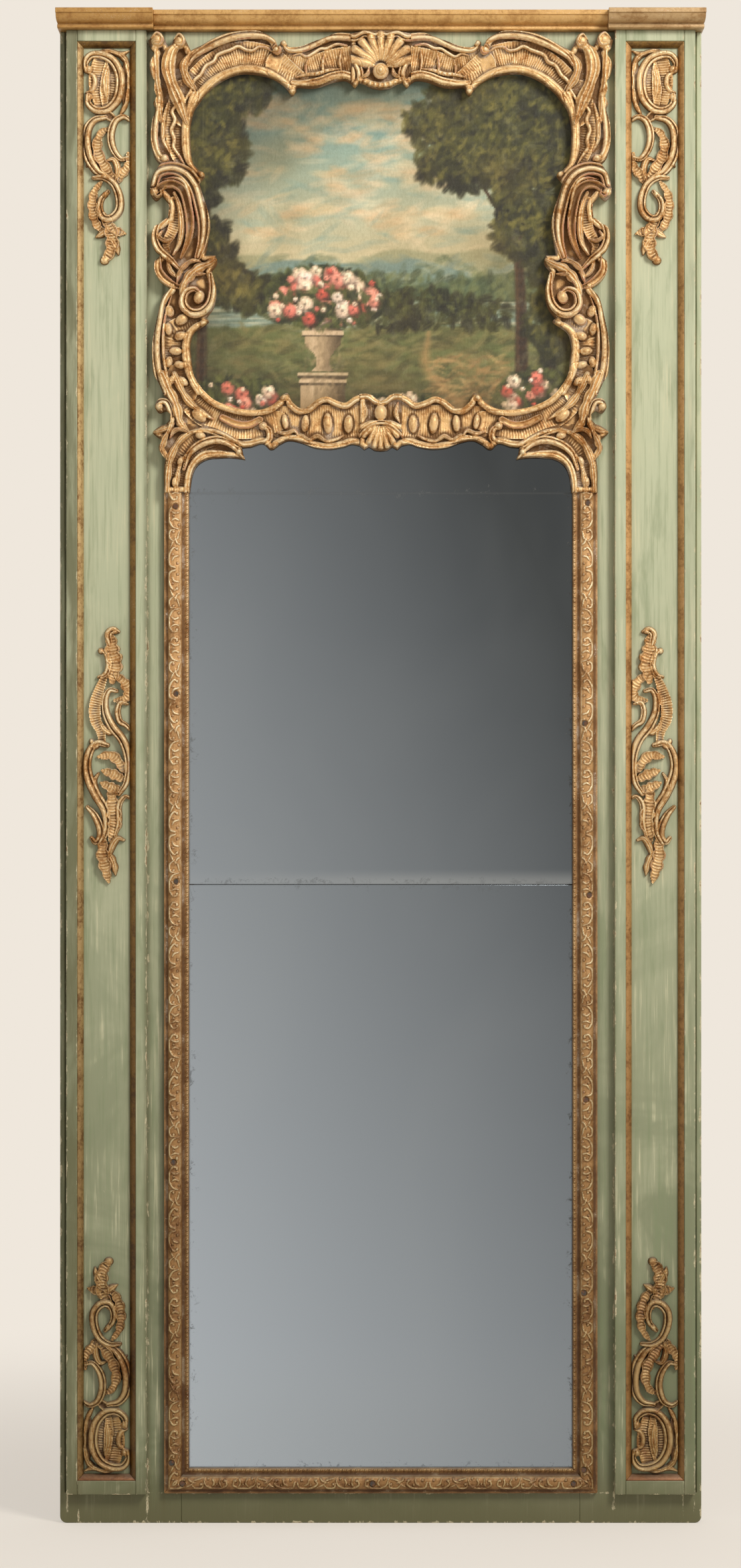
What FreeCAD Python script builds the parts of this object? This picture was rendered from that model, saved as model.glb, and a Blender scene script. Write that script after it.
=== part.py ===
import FreeCAD, Part
import math
import os
import re
import Sketcher

# A trumeau: a tall painted panel with a pier glass below, a painted canvas in a carved cartouche above,
# a pilaster at each side and a cornice on top. Millimetres. The origin is at the foot of the back face,
# in the middle; +Z is up, the front faces -Y, and the left side, as seen from the front, is at -X.

Vector = FreeCAD.Vector

SIZES = (
    ("overall_height", 2200, "base to the top of the cornice"),
    ("ground_width", 934, "width of the painted panel"),
    ("ground_thickness", 30, "thickness of the panel's stiles and rails"),
    ("corner_radius", 10, "rounding of the panel's two lower corners"),
    ("edge_quirk_width", 3, "groove that sets off the bead on the panel's outer edge"),
    ("edge_quirk_depth", 5, "depth of that groove"),
    ("edge_bead_width", 7, "bead on the panel's outer edge"),
    ("stile_width", 177, "width of the panel's stiles"),
    ("bottom_rail_height", 70, "height of the panel's bottom rail"),
    ("middle_rail_height", 34, "height of the rail between the glass and the canvas"),
    ("top_rail_height", 42, "height of the panel's top rail"),
    ("tenon_length", 45, "how far a rail's tenon enters its stile"),
    ("tenon_thickness", 10, "thickness of a rail's tenon"),
    ("tenon_shoulder", 8, "how much narrower than its rail a tenon is, at each edge"),
    ("joint_clearance", 0.15, "clearance round a tenon and a housed batten"),
    ("glass_share", 0.7443, "share of the height between the rails that the glass takes, the canvas the rest"),
    ("joint_share", 0.5703, "share of the glass's height below the joint of its two plates"),
    ("glass_thickness", 5, "thickness of the mirror plates"),
    ("glass_clearance", 1, "clearance between a plate, board or stretcher and the panel's opening"),
    ("plate_gap", 0.4, "gap at the joint of the two plates"),
    ("back_board_thickness", 10, "boards behind the glass"),
    ("batten_height", 60, "height of the battens that hold the boards"),
    ("batten_housing", 30, "how far a batten is let into each stile"),
    ("batten_inset", 150, "from the ends of the glass to the nearest batten"),
    ("canvas_thickness", 1.5, "thickness of the painted canvas"),
    ("stretcher_width", 48, "width of a stretcher bar"),
    ("stretcher_thickness", 18, "thickness of a stretcher bar"),
    ("block_length", 80, "length of the blocks that hold the stretcher"),
    ("block_width", 25, "width of those blocks"),
    ("hanger_inset", 107, "from the panel's outer edge to the hole of a hanging iron"),
    ("hanger_drop", 132, "from the panel's top to that hole"),
    ("hanger_length", 110, "length of a hanging iron"),
    ("hanger_width", 32, "width of a hanging iron"),
    ("hanger_thickness", 3, "thickness of a hanging iron"),
    ("hanger_hole", 9, "diameter of the hole for the wall hook"),
    ("hook_pocket", 16, "depth of the pocket behind the hole"),
    ("hook_pocket_width", 22, "width of that pocket"),
    ("pilaster_inset", 10, "from the panel's outer edge to the pilaster"),
    ("pilaster_width", 117, "width of a pilaster"),
    ("pilaster_thickness", 18, "thickness of a pilaster's framing"),
    ("pilaster_foot", 44, "height of a pilaster's foot above the base"),
    ("border_width", 16, "width of a pilaster's stiles and top rail"),
    ("border_foot", 20, "height of a pilaster's bottom rail"),
    ("field_thickness", 6, "thickness of a pilaster's sunk field"),
    ("field_clearance", 0.2, "clearance round the sunk field"),
    ("gilt_width", 9, "width of the gilt moulding round the field"),
    ("gilt_height", 10, "how far the gilt moulding rises from the field"),
    ("gilt_lip", 2, "thickness of the gilt moulding's thin edge"),
    ("ornament_clearance", 0.2, "clearance between a carved ornament and the gilt moulding round it"),
    ("cornice_height", 28, "height of the cornice"),
    ("cornice_projection", 27, "how far the cornice stands forward of what carries it"),
    ("cornice_return", 4, "how far the cornice passes the panel's sides"),
    ("cornice_lap", 10, "how far its forward steps reach past the pilasters, towards the middle"),
    ("moulding_width", 36, "width of the glass's carved moulding"),
    ("moulding_height", 22, "how far that moulding rises from the panel"),
    ("moulding_lap", 11, "how far it laps over the glass"),
    ("moulding_foot", 45, "height of its lower edge above the base"),
    ("carving_overlap", 46, "how far the cartouche laps over the panel's stiles"),
    ("carving_drop", 17, "how far its lowest shell hangs below the middle rail"),
    ("crest_clearance", 0.2, "clearance between its crest and the cornice"),
    ("carving_board", 12, "thickness of the cartouche's carved boards"),
    ("carving_relief", 22, "how far the boldest carving rises from those boards"),
    ("applique_relief", 14, "how far a pilaster's carved ornament rises"),
)

# The carver's patterns are drawn full size, in the middle's distance outwards and the height above the base.
# They are stretched to the sizes above when those differ from the drawn ones.
DRAWN_HALF_WIDTH = 336.0
DRAWN_CREST = 2172.0
DRAWN_FOOT = 1561.0
DRAWN_CORNER_FOOT = 1500.0
DRAWN_FIELD_WIDTH = 67.0
DRAWN_FIELD_TOP = 2156.0
DRAWN_FIELD_MIDDLE = 1110.0

doc = FreeCAD.newDocument("trumeau")
sheet = doc.addObject("Spreadsheet::Sheet", "sizes")
for row, (alias, value, meaning) in enumerate(SIZES, 1):
    sheet.set(f"A{row}", meaning)
    sheet.set(f"B{row}", str(value))
    sheet.setAlias(f"B{row}", alias)
doc.recompute()

parts = []


def size(alias):
    return float(sheet.get(alias))


def linked(text):
    """A formula in the sheet's names, as an expression of the document."""
    return re.sub(r"[a-z]+_[a-z_]+", lambda word: "sizes." + word.group(0), text)


# Where the main lines fall, as formulas and as numbers.
OPENING_HALF = "(ground_width / 2 - stile_width)"
PANEL_TOP = "(overall_height - cornice_height)"
CANVAS_TOP = f"({PANEL_TOP} - top_rail_height)"
GLASS_HEIGHT = f"(({CANVAS_TOP} - middle_rail_height - bottom_rail_height) * glass_share)"
GLASS_TOP = f"(bottom_rail_height + {GLASS_HEIGHT})"
GLASS_JOINT = f"(bottom_rail_height + {GLASS_HEIGHT} * joint_share)"
CANVAS_FOOT = f"({GLASS_TOP} + middle_rail_height)"
HANGER_X = "(ground_width / 2 - hanger_inset)"
HANGER_HEIGHT = f"({PANEL_TOP} - hanger_drop)"
PILASTER_OUTER = "(ground_width / 2 - pilaster_inset)"
FIELD_WIDTH = "(pilaster_width - 2 * border_width)"
FIELD_HEIGHT = f"({PANEL_TOP} - border_width - pilaster_foot - border_foot)"

opening_half = size("ground_width") / 2 - size("stile_width")
panel_top = size("overall_height") - size("cornice_height")
canvas_top = panel_top - size("top_rail_height")
glass_height = (canvas_top - size("middle_rail_height") - size("bottom_rail_height")) * size("glass_share")
glass_top = size("bottom_rail_height") + glass_height
canvas_foot = glass_top + size("middle_rail_height")
pilaster_middle = size("ground_width") / 2 - size("pilaster_inset") - size("pilaster_width") / 2
field_half = size("pilaster_width") / 2 - size("border_width")
field_foot = size("pilaster_foot") + size("border_foot")
field_top = panel_top - size("border_width")
ground_front = size("ground_thickness")
field_front = ground_front + size("field_thickness")


def sketch_on(body, name, role):
    plane = next(item for item in body.Origin.OriginFeatures if item.Role == role)
    sketch = body.newObject("Sketcher::SketchObject", name)
    sketch.AttachmentSupport = [(plane, "")]
    sketch.MapMode = "FlatFace"
    return sketch


def draw(sketch, corners):
    """A closed outline of straight lines whose corners are formulas."""
    count = len(corners)
    for i in range(count):
        turn = [2 * math.pi * k / count for k in (i, i + 1)]
        ends = [Vector(math.cos(a), math.sin(a), 0) for a in turn]
        sketch.addGeometry(Part.LineSegment(*ends), False)
    for i in range(count):
        sketch.addConstraint(Sketcher.Constraint("Coincident", i, 2, (i + 1) % count, 1))
    for i, corner in enumerate(corners):
        for kind, formula in zip(("DistanceX", "DistanceY"), corner):
            index = sketch.addConstraint(Sketcher.Constraint(kind, -1, 1, i, 1, 1.0))
            sketch.setExpression(f"Constraints[{index}]", linked(formula))


def rectangle(low_x, low_y, high_x, high_y):
    return ((low_x, low_y), (high_x, low_y), (high_x, high_y), (low_x, high_y))


def pad(body, name, sketch, length):
    feature = body.newObject("PartDesign::Pad", name)
    feature.Profile = sketch
    feature.setExpression("Length", linked(length))
    return feature


def pocket(body, name, corners, role, length, start="0", reverse=False):
    """A cut of straight outline into the body, from a plane at the given distance."""
    sketch = sketch_on(body, name + "_outline", role)
    draw(sketch, corners)
    sketch.setExpression("AttachmentOffset.Base.z", linked(start))
    feature = body.newObject("PartDesign::Pocket", name)
    feature.Profile = sketch
    feature.setExpression("Length", linked(length))
    feature.Reversed = reverse
    return feature


def new_body(label, place, alone=True):
    """A body at a place given by formulas. One that isn't alone is written as a member of a group."""
    body = doc.addObject("PartDesign::Body", label)
    body.Label = label
    for axis, formula in zip("xyz", place):
        body.setExpression(f"Placement.Base.{axis}", linked(formula))
    if alone:
        parts.append(body)
    return body


def board(label, place, width, depth, height, alone=True):
    """A plain board: its place is its low left back corner, and its depth runs forwards."""
    body = new_body(label, place, alone)
    sketch = sketch_on(body, label + "_face", "XZ_Plane")
    draw(sketch, rectangle("0", "0", width, height))
    pad(body, label + "_board", sketch, depth)
    return body


def feature(label, shape, place=FreeCAD.Placement()):
    item = doc.addObject("Part::Feature", label)
    item.Label = label
    item.Shape = shape
    item.Placement = place
    parts.append(item)
    return item


def mirrored(label, source, alone=True):
    """The same piece for the other side."""
    item = doc.addObject("Part::Mirroring", label)
    item.Label = label
    item.Source = source
    item.Normal = Vector(1, 0, 0)
    if alone:
        parts.append(item)
    return item


def group(label, members):
    """Like pieces that are written together, each its own solid."""
    item = doc.addObject("Part::Compound", label)
    item.Label = label
    item.Links = members
    parts.append(item)


# The panel: two stiles with a bead on their outer edges, and three rails tenoned into them.
MORTISE_LENGTH = "(tenon_length + joint_clearance)"
MORTISE_DEPTH = "(tenon_thickness + 2 * joint_clearance)"
MORTISE_START = "((ground_thickness + tenon_thickness) / 2 + joint_clearance)"
RAILS = (
    ("bottom_rail", "0", "bottom_rail_height"),
    ("middle_rail", GLASS_TOP, "middle_rail_height"),
    ("top_rail", CANVAS_TOP, "top_rail_height"),
)
BATTEN_DEPTH = "(ground_thickness - glass_thickness - back_board_thickness)"
BATTENS = (
    ("lower_batten", "(bottom_rail_height + batten_inset)"),
    ("middle_batten", f"(bottom_rail_height + {GLASS_HEIGHT} / 2 - batten_height / 2)"),
    ("upper_batten", f"({GLASS_TOP} - batten_inset - batten_height)"),
)
HANGER_FOOT = f"({HANGER_HEIGHT} - hanger_length + hanger_width / 2)"


def edge_along_y(shape, x, z):
    """The name of the edge that runs front to back at the given place."""
    for number, edge in enumerate(shape.Edges, 1):
        points = [vertex.Point for vertex in edge.Vertexes]
        if all(abs(p.x - x) < 1e-6 and abs(p.z - z) < 1e-6 for p in points):
            return f"Edge{number}"
    raise ValueError("no such edge")


def make_stile():
    body = new_body("left_stile", ("-ground_width / 2", "0", "0"))
    sketch = sketch_on(body, "stile_face", "XZ_Plane")
    draw(sketch, rectangle("0", "0", "stile_width", PANEL_TOP))
    blank = pad(body, "stile_board", sketch, "ground_thickness")
    doc.recompute()
    rounding = body.newObject("PartDesign::Fillet", "stile_corner")
    rounding.Base = (blank, [edge_along_y(blank.Shape, 0, 0)])
    rounding.setExpression("Radius", linked("corner_radius"))
    quirk = rectangle("edge_bead_width", "pilaster_foot", "edge_bead_width + edge_quirk_width", PANEL_TOP)
    pocket(body, "stile_quirk", quirk, "XZ_Plane", "edge_quirk_depth", "ground_thickness")
    for name, foot, height in RAILS:
        low = f"{foot} + tenon_shoulder - joint_clearance"
        high = f"{foot} + {height} - tenon_shoulder + joint_clearance"
        mortise = rectangle(f"stile_width - {MORTISE_LENGTH}", low, "stile_width", high)
        pocket(body, name + "_mortise", mortise, "XZ_Plane", MORTISE_DEPTH, MORTISE_START)
    for name, foot in BATTENS:
        low = f"{foot} - joint_clearance"
        high = f"{foot} + batten_height + joint_clearance"
        housing = rectangle("stile_width - batten_housing - joint_clearance", low, "stile_width", high)
        depth = f"({BATTEN_DEPTH} + joint_clearance)"
        pocket(body, name + "_housing", housing, "XZ_Plane", depth, depth)
    middle = "hanger_inset"
    recess = rectangle(f"{middle} - hanger_width / 2 - joint_clearance", f"{HANGER_FOOT} - joint_clearance",
                       f"{middle} + hanger_width / 2 + joint_clearance",
                       f"{HANGER_FOOT} + hanger_length + joint_clearance")
    pocket(body, "hanger_recess", recess, "XZ_Plane", "hanger_thickness", "hanger_thickness")
    hollow = rectangle(f"{middle} - hook_pocket_width / 2", f"{HANGER_HEIGHT} - hook_pocket_width / 2",
                       f"{middle} + hook_pocket_width / 2", f"{HANGER_HEIGHT} + hook_pocket_width / 2")
    pocket(body, "hook_pocket_cut", hollow, "XZ_Plane", "hook_pocket", "hook_pocket")
    return body


def make_rail(name, foot, height):
    body = board(name, (f"-{OPENING_HALF}", "0", foot), f"2 * {OPENING_HALF}", "ground_thickness", height)
    sketch = sketch_on(body, name + "_tenon_face", "XZ_Plane")
    draw(sketch, rectangle("-tenon_length", "tenon_shoulder", f"2 * {OPENING_HALF} + tenon_length",
                           f"{height} - tenon_shoulder"))
    sketch.setExpression("AttachmentOffset.Base.z", linked("(ground_thickness - tenon_thickness) / 2"))
    pad(body, name + "_tenons", sketch, "tenon_thickness")


def make_hanger():
    """An iron let in flush behind a stile, with a round hole for the wall hook."""
    place = (f"-{HANGER_X} - hanger_width / 2", "0", HANGER_FOOT)
    body = board("left_hanger", place, "hanger_width", "hanger_thickness", "hanger_length", alone=False)
    sketch = sketch_on(body, "hanger_hole_outline", "XZ_Plane")
    circle = sketch.addGeometry(Part.Circle(Vector(10, 10, 0), Vector(0, 0, 1), 3), False)
    formulas = (
        (sketch.addConstraint(Sketcher.Constraint("DistanceX", -1, 1, circle, 3, 10)), "hanger_width / 2"),
        (sketch.addConstraint(Sketcher.Constraint("DistanceY", -1, 1, circle, 3, 10)),
         f"{HANGER_HEIGHT} - {HANGER_FOOT}"),
        (sketch.addConstraint(Sketcher.Constraint("Radius", circle, 3)), "hanger_hole / 2"),
    )
    for index, formula in formulas:
        sketch.setExpression(f"Constraints[{index}]", linked(formula))
    sketch.setExpression("AttachmentOffset.Base.z", linked("hanger_thickness"))
    hole = body.newObject("PartDesign::Pocket", "hanger_hole_cut")
    hole.Profile = sketch
    hole.Type = 1
    return body


mirrored("right_stile", make_stile())
for rail in RAILS:
    make_rail(*rail)
left_hanger = make_hanger()
group("hanging_irons", [left_hanger, mirrored("right_hanger", left_hanger, alone=False)])

# The glass: two plates, the boards behind them and the battens that hold the boards.
GLASS_SIDE = f"({OPENING_HALF} - glass_clearance)"
BOARD_COUNT = 3
BOARD_HEIGHT = f"(({GLASS_HEIGHT} - glass_clearance) / {BOARD_COUNT})"

plate_back = "-(ground_thickness - glass_thickness)"
board("lower_glass", (f"-{GLASS_SIDE}", plate_back, "bottom_rail_height"), f"2 * {GLASS_SIDE}",
      "glass_thickness", f"{GLASS_JOINT} - bottom_rail_height - plate_gap / 2")
board("upper_glass", (f"-{GLASS_SIDE}", plate_back, f"{GLASS_JOINT} + plate_gap / 2"), f"2 * {GLASS_SIDE}",
      "glass_thickness", f"{GLASS_TOP} - glass_clearance - {GLASS_JOINT} - plate_gap / 2")
for number, name in enumerate(("lower_back_board", "middle_back_board", "upper_back_board")):
    board(name, (f"-{GLASS_SIDE}", f"-{BATTEN_DEPTH}", f"bottom_rail_height + {number} * {BOARD_HEIGHT}"),
          f"2 * {GLASS_SIDE}", "back_board_thickness", BOARD_HEIGHT)
for name, foot in BATTENS:
    board(name, (f"-{OPENING_HALF} - batten_housing", "0", foot),
          f"2 * ({OPENING_HALF} + batten_housing)", BATTEN_DEPTH, "batten_height", alone=False)
group("battens", [doc.getObject(name) for name, foot in BATTENS])

# The pilasters: a frame round a sunk field. The left one is drawn and the right one is its mirror image.
frame_back = "-ground_thickness"
PILASTER_HEIGHT = f"({PANEL_TOP} - pilaster_foot)"
pilaster_boards = (
    ("outer_stile", (f"-{PILASTER_OUTER}", frame_back, "pilaster_foot"), "border_width",
     "pilaster_thickness", PILASTER_HEIGHT),
    ("inner_stile", (f"-{PILASTER_OUTER} + pilaster_width - border_width", frame_back, "pilaster_foot"),
     "border_width", "pilaster_thickness", PILASTER_HEIGHT),
    ("head", (f"-{PILASTER_OUTER} + border_width", frame_back, f"{PANEL_TOP} - border_width"),
     FIELD_WIDTH, "pilaster_thickness", "border_width"),
    ("foot", (f"-{PILASTER_OUTER} + border_width", frame_back, "pilaster_foot"),
     FIELD_WIDTH, "pilaster_thickness", "border_foot"),
    ("field", (f"-{PILASTER_OUTER} + border_width + field_clearance", frame_back,
               "pilaster_foot + border_foot + field_clearance"),
     f"{FIELD_WIDTH} - 2 * field_clearance", "field_thickness", f"{FIELD_HEIGHT} - 2 * field_clearance"),
)
for name, place, width, depth, height in pilaster_boards:
    piece = board(f"left_pilaster_{name}", place, width, depth, height)
    mirrored(f"right_pilaster_{name}", piece)


# The carver's curves are cut in flats, which leave the drawn curve by no more than this.
FLAT_SAG = 1.2
carving_half = opening_half + size("carving_overlap")
carving_foot = glass_top - size("carving_drop")
carving_stretch = (panel_top - size("crest_clearance") - carving_foot) / (DRAWN_CREST - DRAWN_FOOT)


def on_cartouche(across, height):
    """Where a point of the cartouche's pattern falls."""
    return Vector(across * carving_half / DRAWN_HALF_WIDTH, 0,
                  carving_foot + (height - DRAWN_FOOT) * carving_stretch)


def run(points, in_flats):
    """The edges through a run of points: a line, an arc or a curve, which may be carved in flats."""
    if len(points) == 2:
        return [Part.makeLine(*points)]
    if len(points) == 3:
        edge = Part.Arc(*points).toShape()
    else:
        curve = Part.BSplineCurve()
        curve.interpolate(points)
        edge = curve.toShape()
    return Part.makePolygon(edge.discretize(Deflection=FLAT_SAG)).Edges if in_flats else [edge]


def outline(runs, place, in_flats=False):
    """A closed wire of runs of flat points, each set in space by place(). Each run starts where the last ended."""
    edges = []
    for number, points in enumerate(runs):
        following = runs[(number + 1) % len(runs)][0]
        edges += run([place(*point) for point in (*points, following)], in_flats)
    return Part.Wire(edges)


def strip(profile, start, end, inward, mitred):
    """A length of moulding between two corners of its outer edge. The profile is in distances inwards and
    forwards. mitred says which ends are cut at 45 degrees, and the other ends stay square."""
    length = start.distanceToPoint(end)
    along = (end - start).normalize()
    forward = Vector(0, -1, 0)
    wire = outline(profile, lambda across, rise: start + inward * across + forward * rise)
    solid = Part.Face(wire).extrude(along * length)
    box = solid.BoundBox
    reach = abs(inward.dot(Vector(box.XLength, 0, box.ZLength))) - box.YMin
    for corner, direction, cut in ((start, along, mitred[0]), (end, along * -1, mitred[1])):
        if not cut:
            continue
        back = corner + Vector(0, reach, 0)
        wedge = Part.makePolygon([back - direction * reach, back, back + (inward + direction) * reach,
                                  back + (inward - direction) * reach, back - direction * reach])
        solid = solid.cut(Part.Face(wedge).extrude(forward * 2 * reach))
    return solid


# The stretcher: four mitred bars and a cross bar, thinner towards the inside so that the canvas touches
# only their outer edges. Four glued blocks hold it in the panel's opening.
stretcher_half = opening_half - size("glass_clearance")
stretcher_low = canvas_foot + size("glass_clearance")
stretcher_high = canvas_top - size("glass_clearance")
stretcher_back = ground_front - size("canvas_thickness") - size("stretcher_thickness")
BEVEL_SHARE = 0.75
bar_width = size("stretcher_width")
bar_front = stretcher_back + size("stretcher_thickness")
bar_inner = stretcher_back + size("stretcher_thickness") * BEVEL_SHARE
bar_profile = (((0, stretcher_back),), ((0, bar_front),), ((bar_width, bar_inner),), ((bar_width, stretcher_back),))
corners = {
    "low_left": Vector(-stretcher_half, 0, stretcher_low),
    "high_left": Vector(-stretcher_half, 0, stretcher_high),
    "low_right": Vector(stretcher_half, 0, stretcher_low),
    "high_right": Vector(stretcher_half, 0, stretcher_high),
}
INWARDS = {"left": Vector(1, 0, 0), "right": Vector(-1, 0, 0), "low": Vector(0, 0, 1), "high": Vector(0, 0, -1)}
BOTH = (True, True)
feature("stretcher_left", strip(bar_profile, corners["low_left"], corners["high_left"], INWARDS["left"], BOTH))
feature("stretcher_right", strip(bar_profile, corners["low_right"], corners["high_right"], INWARDS["right"], BOTH))
feature("stretcher_bottom", strip(bar_profile, corners["low_left"], corners["low_right"], INWARDS["low"], BOTH))
feature("stretcher_top", strip(bar_profile, corners["high_left"], corners["high_right"], INWARDS["high"], BOTH))
CROSS_THICKNESS = f"(stretcher_thickness * {BEVEL_SHARE})"
STRETCHER_BACK = "(ground_thickness - canvas_thickness - stretcher_thickness)"
board("stretcher_cross_bar",
      (f"-({OPENING_HALF} - glass_clearance - stretcher_width)", f"-{STRETCHER_BACK}",
       f"({CANVAS_FOOT} + {CANVAS_TOP} - stretcher_width) / 2"),
      f"2 * ({OPENING_HALF} - glass_clearance - stretcher_width)", CROSS_THICKNESS, "stretcher_width")
board("canvas", (f"-({OPENING_HALF} - glass_clearance)", "-(ground_thickness - canvas_thickness)",
                 f"{CANVAS_FOOT} + glass_clearance"),
      f"2 * ({OPENING_HALF} - glass_clearance)", "canvas_thickness",
      f"{CANVAS_TOP} - {CANVAS_FOOT} - 2 * glass_clearance")


def make_blocks():
    """Blocks glued in the opening's corners behind the stretcher."""
    width, length = size("block_width"), size("block_length")
    blocks = []
    for side in (-1, 1):
        for foot in (stretcher_low + length / 2, stretcher_high - 3 * length / 2):
            low_x = min(side * opening_half, side * (opening_half - width))
            blocks.append(Part.makeBox(width, stretcher_back, length, Vector(low_x, -stretcher_back, foot)))
    return Part.makeCompound(blocks)


feature("stretcher_blocks", make_blocks())

# The gilt moulding round each sunk field: a quarter-round hollow, mitred at the corners.
gilt_width, gilt_rise, gilt_lip = size("gilt_width"), size("gilt_height"), size("gilt_lip")
GILT_FLAT = 0.15
GILT_SWELL = (0.62, 0.72)
gilt_top = field_front + gilt_rise
gilt_profile = (
    ((0, field_front),),
    ((0, gilt_top),),
    ((gilt_width * GILT_FLAT, gilt_top), (gilt_width * GILT_SWELL[0], field_front + gilt_rise * GILT_SWELL[1])),
    ((gilt_width, field_front + gilt_lip),),
    ((gilt_width, field_front),),
)
field_left = -pilaster_middle - field_half
field_right = -pilaster_middle + field_half
gilt_corners = (
    Vector(field_left, 0, field_foot), Vector(field_left, 0, field_top),
    Vector(field_right, 0, field_top), Vector(field_right, 0, field_foot),
)
GILT_SIDES = (("outer", "left"), ("top", "high"), ("inner", "right"), ("bottom", "low"))
for number, (name, side) in enumerate(GILT_SIDES):
    ends = gilt_corners[number], gilt_corners[(number + 1) % len(gilt_corners)]
    piece = feature(f"left_gilt_{name}", strip(gilt_profile, *ends, INWARDS[side], BOTH))
    mirrored(f"right_gilt_{name}", piece)

# The glass's carved moulding: an outer fillet, a swelling band for the carving, a hollow and a sight bead.
band_width, band_rise = size("moulding_width"), size("moulding_height")


def band(across, rise):
    return across * band_width, ground_front + rise * band_rise


moulding_profile = (
    (band(0, 0),),
    (band(0, 0.62),),
    (band(0.14, 0.62),),
    (band(0.2, 0.72), band(0.42, 1)),
    (band(0.68, 0.82),),
    (band(0.72, 0.45), band(0.77, 0.38)),
    (band(0.82, 0.42), band(0.9, 0.6)),
    (band(1, 0.42),),
    (band(1, 0),),
)
sight_half = opening_half - size("moulding_lap")
moulding_half = sight_half + band_width
low_corner = Vector(-moulding_half, 0, size("moulding_foot"))
feature("mirror_moulding_bottom", strip(moulding_profile, low_corner, Vector(moulding_half, 0, low_corner.z),
                                        INWARDS["low"], BOTH))
piece = feature("mirror_moulding_left", strip(moulding_profile, low_corner,
                                              Vector(-moulding_half, 0, on_cartouche(0, DRAWN_CORNER_FOOT).z),
                                              INWARDS["left"], (True, False)))
mirrored("mirror_moulding_right", piece)

# The cornice: a bead, a large quarter round and a square top edge, returned at its outer ends. It rests on
# the panel and the pilasters, and steps forward over each pilaster.
cornice_rise, cornice_out = size("cornice_height"), size("cornice_projection")
ROUND_STEPS = 5
ROUND_FOOT = (0.29, 0.42)
ROUND_REACH = (0.45, 0.5)
cornice_steps = [(0, 0.40), (0.05, 0.50), (0.18, 0.52), (0.25, 0.42), ROUND_FOOT]
for step in range(1, ROUND_STEPS + 1):
    turn = math.pi / 2 * step / ROUND_STEPS
    rise = ROUND_FOOT[0] + ROUND_REACH[0] * (1 - math.cos(turn))
    cornice_steps.append((rise, ROUND_FOOT[1] + ROUND_REACH[1] * math.sin(turn)))
cornice_steps += [(0.76, 1), (1, 1)]


def cornice_block(low_x, high_x, base, returned):
    """A length of cornice over base millimetres of depth, with a return at its low-X end if it has one."""
    levels = []
    for rise, out in cornice_steps:
        left = low_x - (size("cornice_return") * out if returned else 0)
        front = -(base + out * cornice_out)
        height = panel_top + rise * cornice_rise
        plan = [Vector(x, y, height) for x, y in ((left, 0), (left, front), (high_x, front), (high_x, 0))]
        levels.append(Part.makePolygon([*plan, plan[0]]))
    return Part.makeLoft(levels, True, True)


ground_half = size("ground_width") / 2
step_x = pilaster_middle - size("pilaster_width") / 2 - size("cornice_lap")
pilaster_front = ground_front + size("pilaster_thickness")
piece = feature("left_cornice", cornice_block(-ground_half, -step_x, pilaster_front, True))
mirrored("right_cornice", piece)
feature("middle_cornice", cornice_block(-step_x, step_x, ground_front, False))


# The carving. A board is sawn to a pattern's outline, and strokes, eggs and ribs rise from it. A stroke is a
# ridge that follows a line of points and thins towards its ends.
SUNK = 2.0
FINE_END = 0.3
STROKE_SLACK = 2.8
EGG_SIDES = 6
EGG_TOP = 0.62


def thinned(spots):
    """The fewest of these points that keep their line within the slack of a stroke."""
    start, end = spots[0], spots[-1]
    distances = [spot.distanceToLineSegment(start, end).Length for spot in spots]
    furthest = max(distances)
    if furthest <= STROKE_SLACK:
        return [start, end]
    middle = distances.index(furthest)
    return thinned(spots[:middle + 1])[:-1] + thinned(spots[middle:])


def faceted(rings):
    """A solid whose flat faces have these corners."""
    solid = Part.makeSolid(Part.makeShell([Part.Face(Part.makePolygon([*ring, ring[0]])) for ring in rings]))
    if solid.Volume < 0:
        solid.reverse()
    return solid


def ridge(line, half_width, rise, foot, place):
    """A carved stroke. Its foot and rise are distances forwards, and place() sets a pattern's point in space."""
    spots = [place(*point) for point in line]
    kept = thinned(spots)
    if len(kept) == 2:
        kept.insert(1, spots[len(spots) // 2])
    spots = kept
    reached = [0.0]
    for start, end in zip(spots, spots[1:]):
        reached.append(reached[-1] + start.distanceToPoint(end))
    left, crest, right = [], [], []
    for i, spot in enumerate(spots):
        before, after = spots[max(i - 1, 0)], spots[min(i + 1, len(spots) - 1)]
        along = (after - before).normalize()
        across = Vector(-along.z, 0, along.x)
        fullness = FINE_END + (1 - FINE_END) * math.sin(math.pi * reached[i] / reached[-1])
        left.append(spot + across * half_width * fullness + Vector(0, -foot, 0))
        right.append(spot - across * half_width * fullness + Vector(0, -foot, 0))
        crest.append(spot + Vector(0, -foot - SUNK - rise * fullness, 0))
    rings = [(left[0], crest[0], right[0]), (left[-1], crest[-1], right[-1])]
    for i in range(len(spots) - 1):
        rings.append((left[i], right[i], right[i + 1]))
        rings.append((left[i], right[i + 1], left[i + 1]))
        for edge in (left, right):
            rings.append((edge[i], crest[i], crest[i + 1]))
            rings.append((edge[i], crest[i + 1], edge[i + 1]))
    return faceted(rings)


def egg(centre, half_width, half_height, rise, foot, place):
    """A carved egg or scroll eye, cut in facets."""
    foot_ring, top_ring = [], []
    for step in range(EGG_SIDES):
        turn = 2 * math.pi * (step + 0.5) / EGG_SIDES
        reach = half_width * math.cos(turn), half_height * math.sin(turn)
        foot_ring.append(place(centre[0] + reach[0], centre[1] + reach[1]) + Vector(0, -foot, 0))
        top_ring.append(place(centre[0] + reach[0] * EGG_TOP, centre[1] + reach[1] * EGG_TOP)
                        + Vector(0, -foot - rise - SUNK, 0))
    rings = [foot_ring, top_ring]
    for i in range(EGG_SIDES):
        following = (i + 1) % EGG_SIDES
        rings.append((foot_ring[i], foot_ring[following], top_ring[following], top_ring[i]))
    return faceted(rings)


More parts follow.
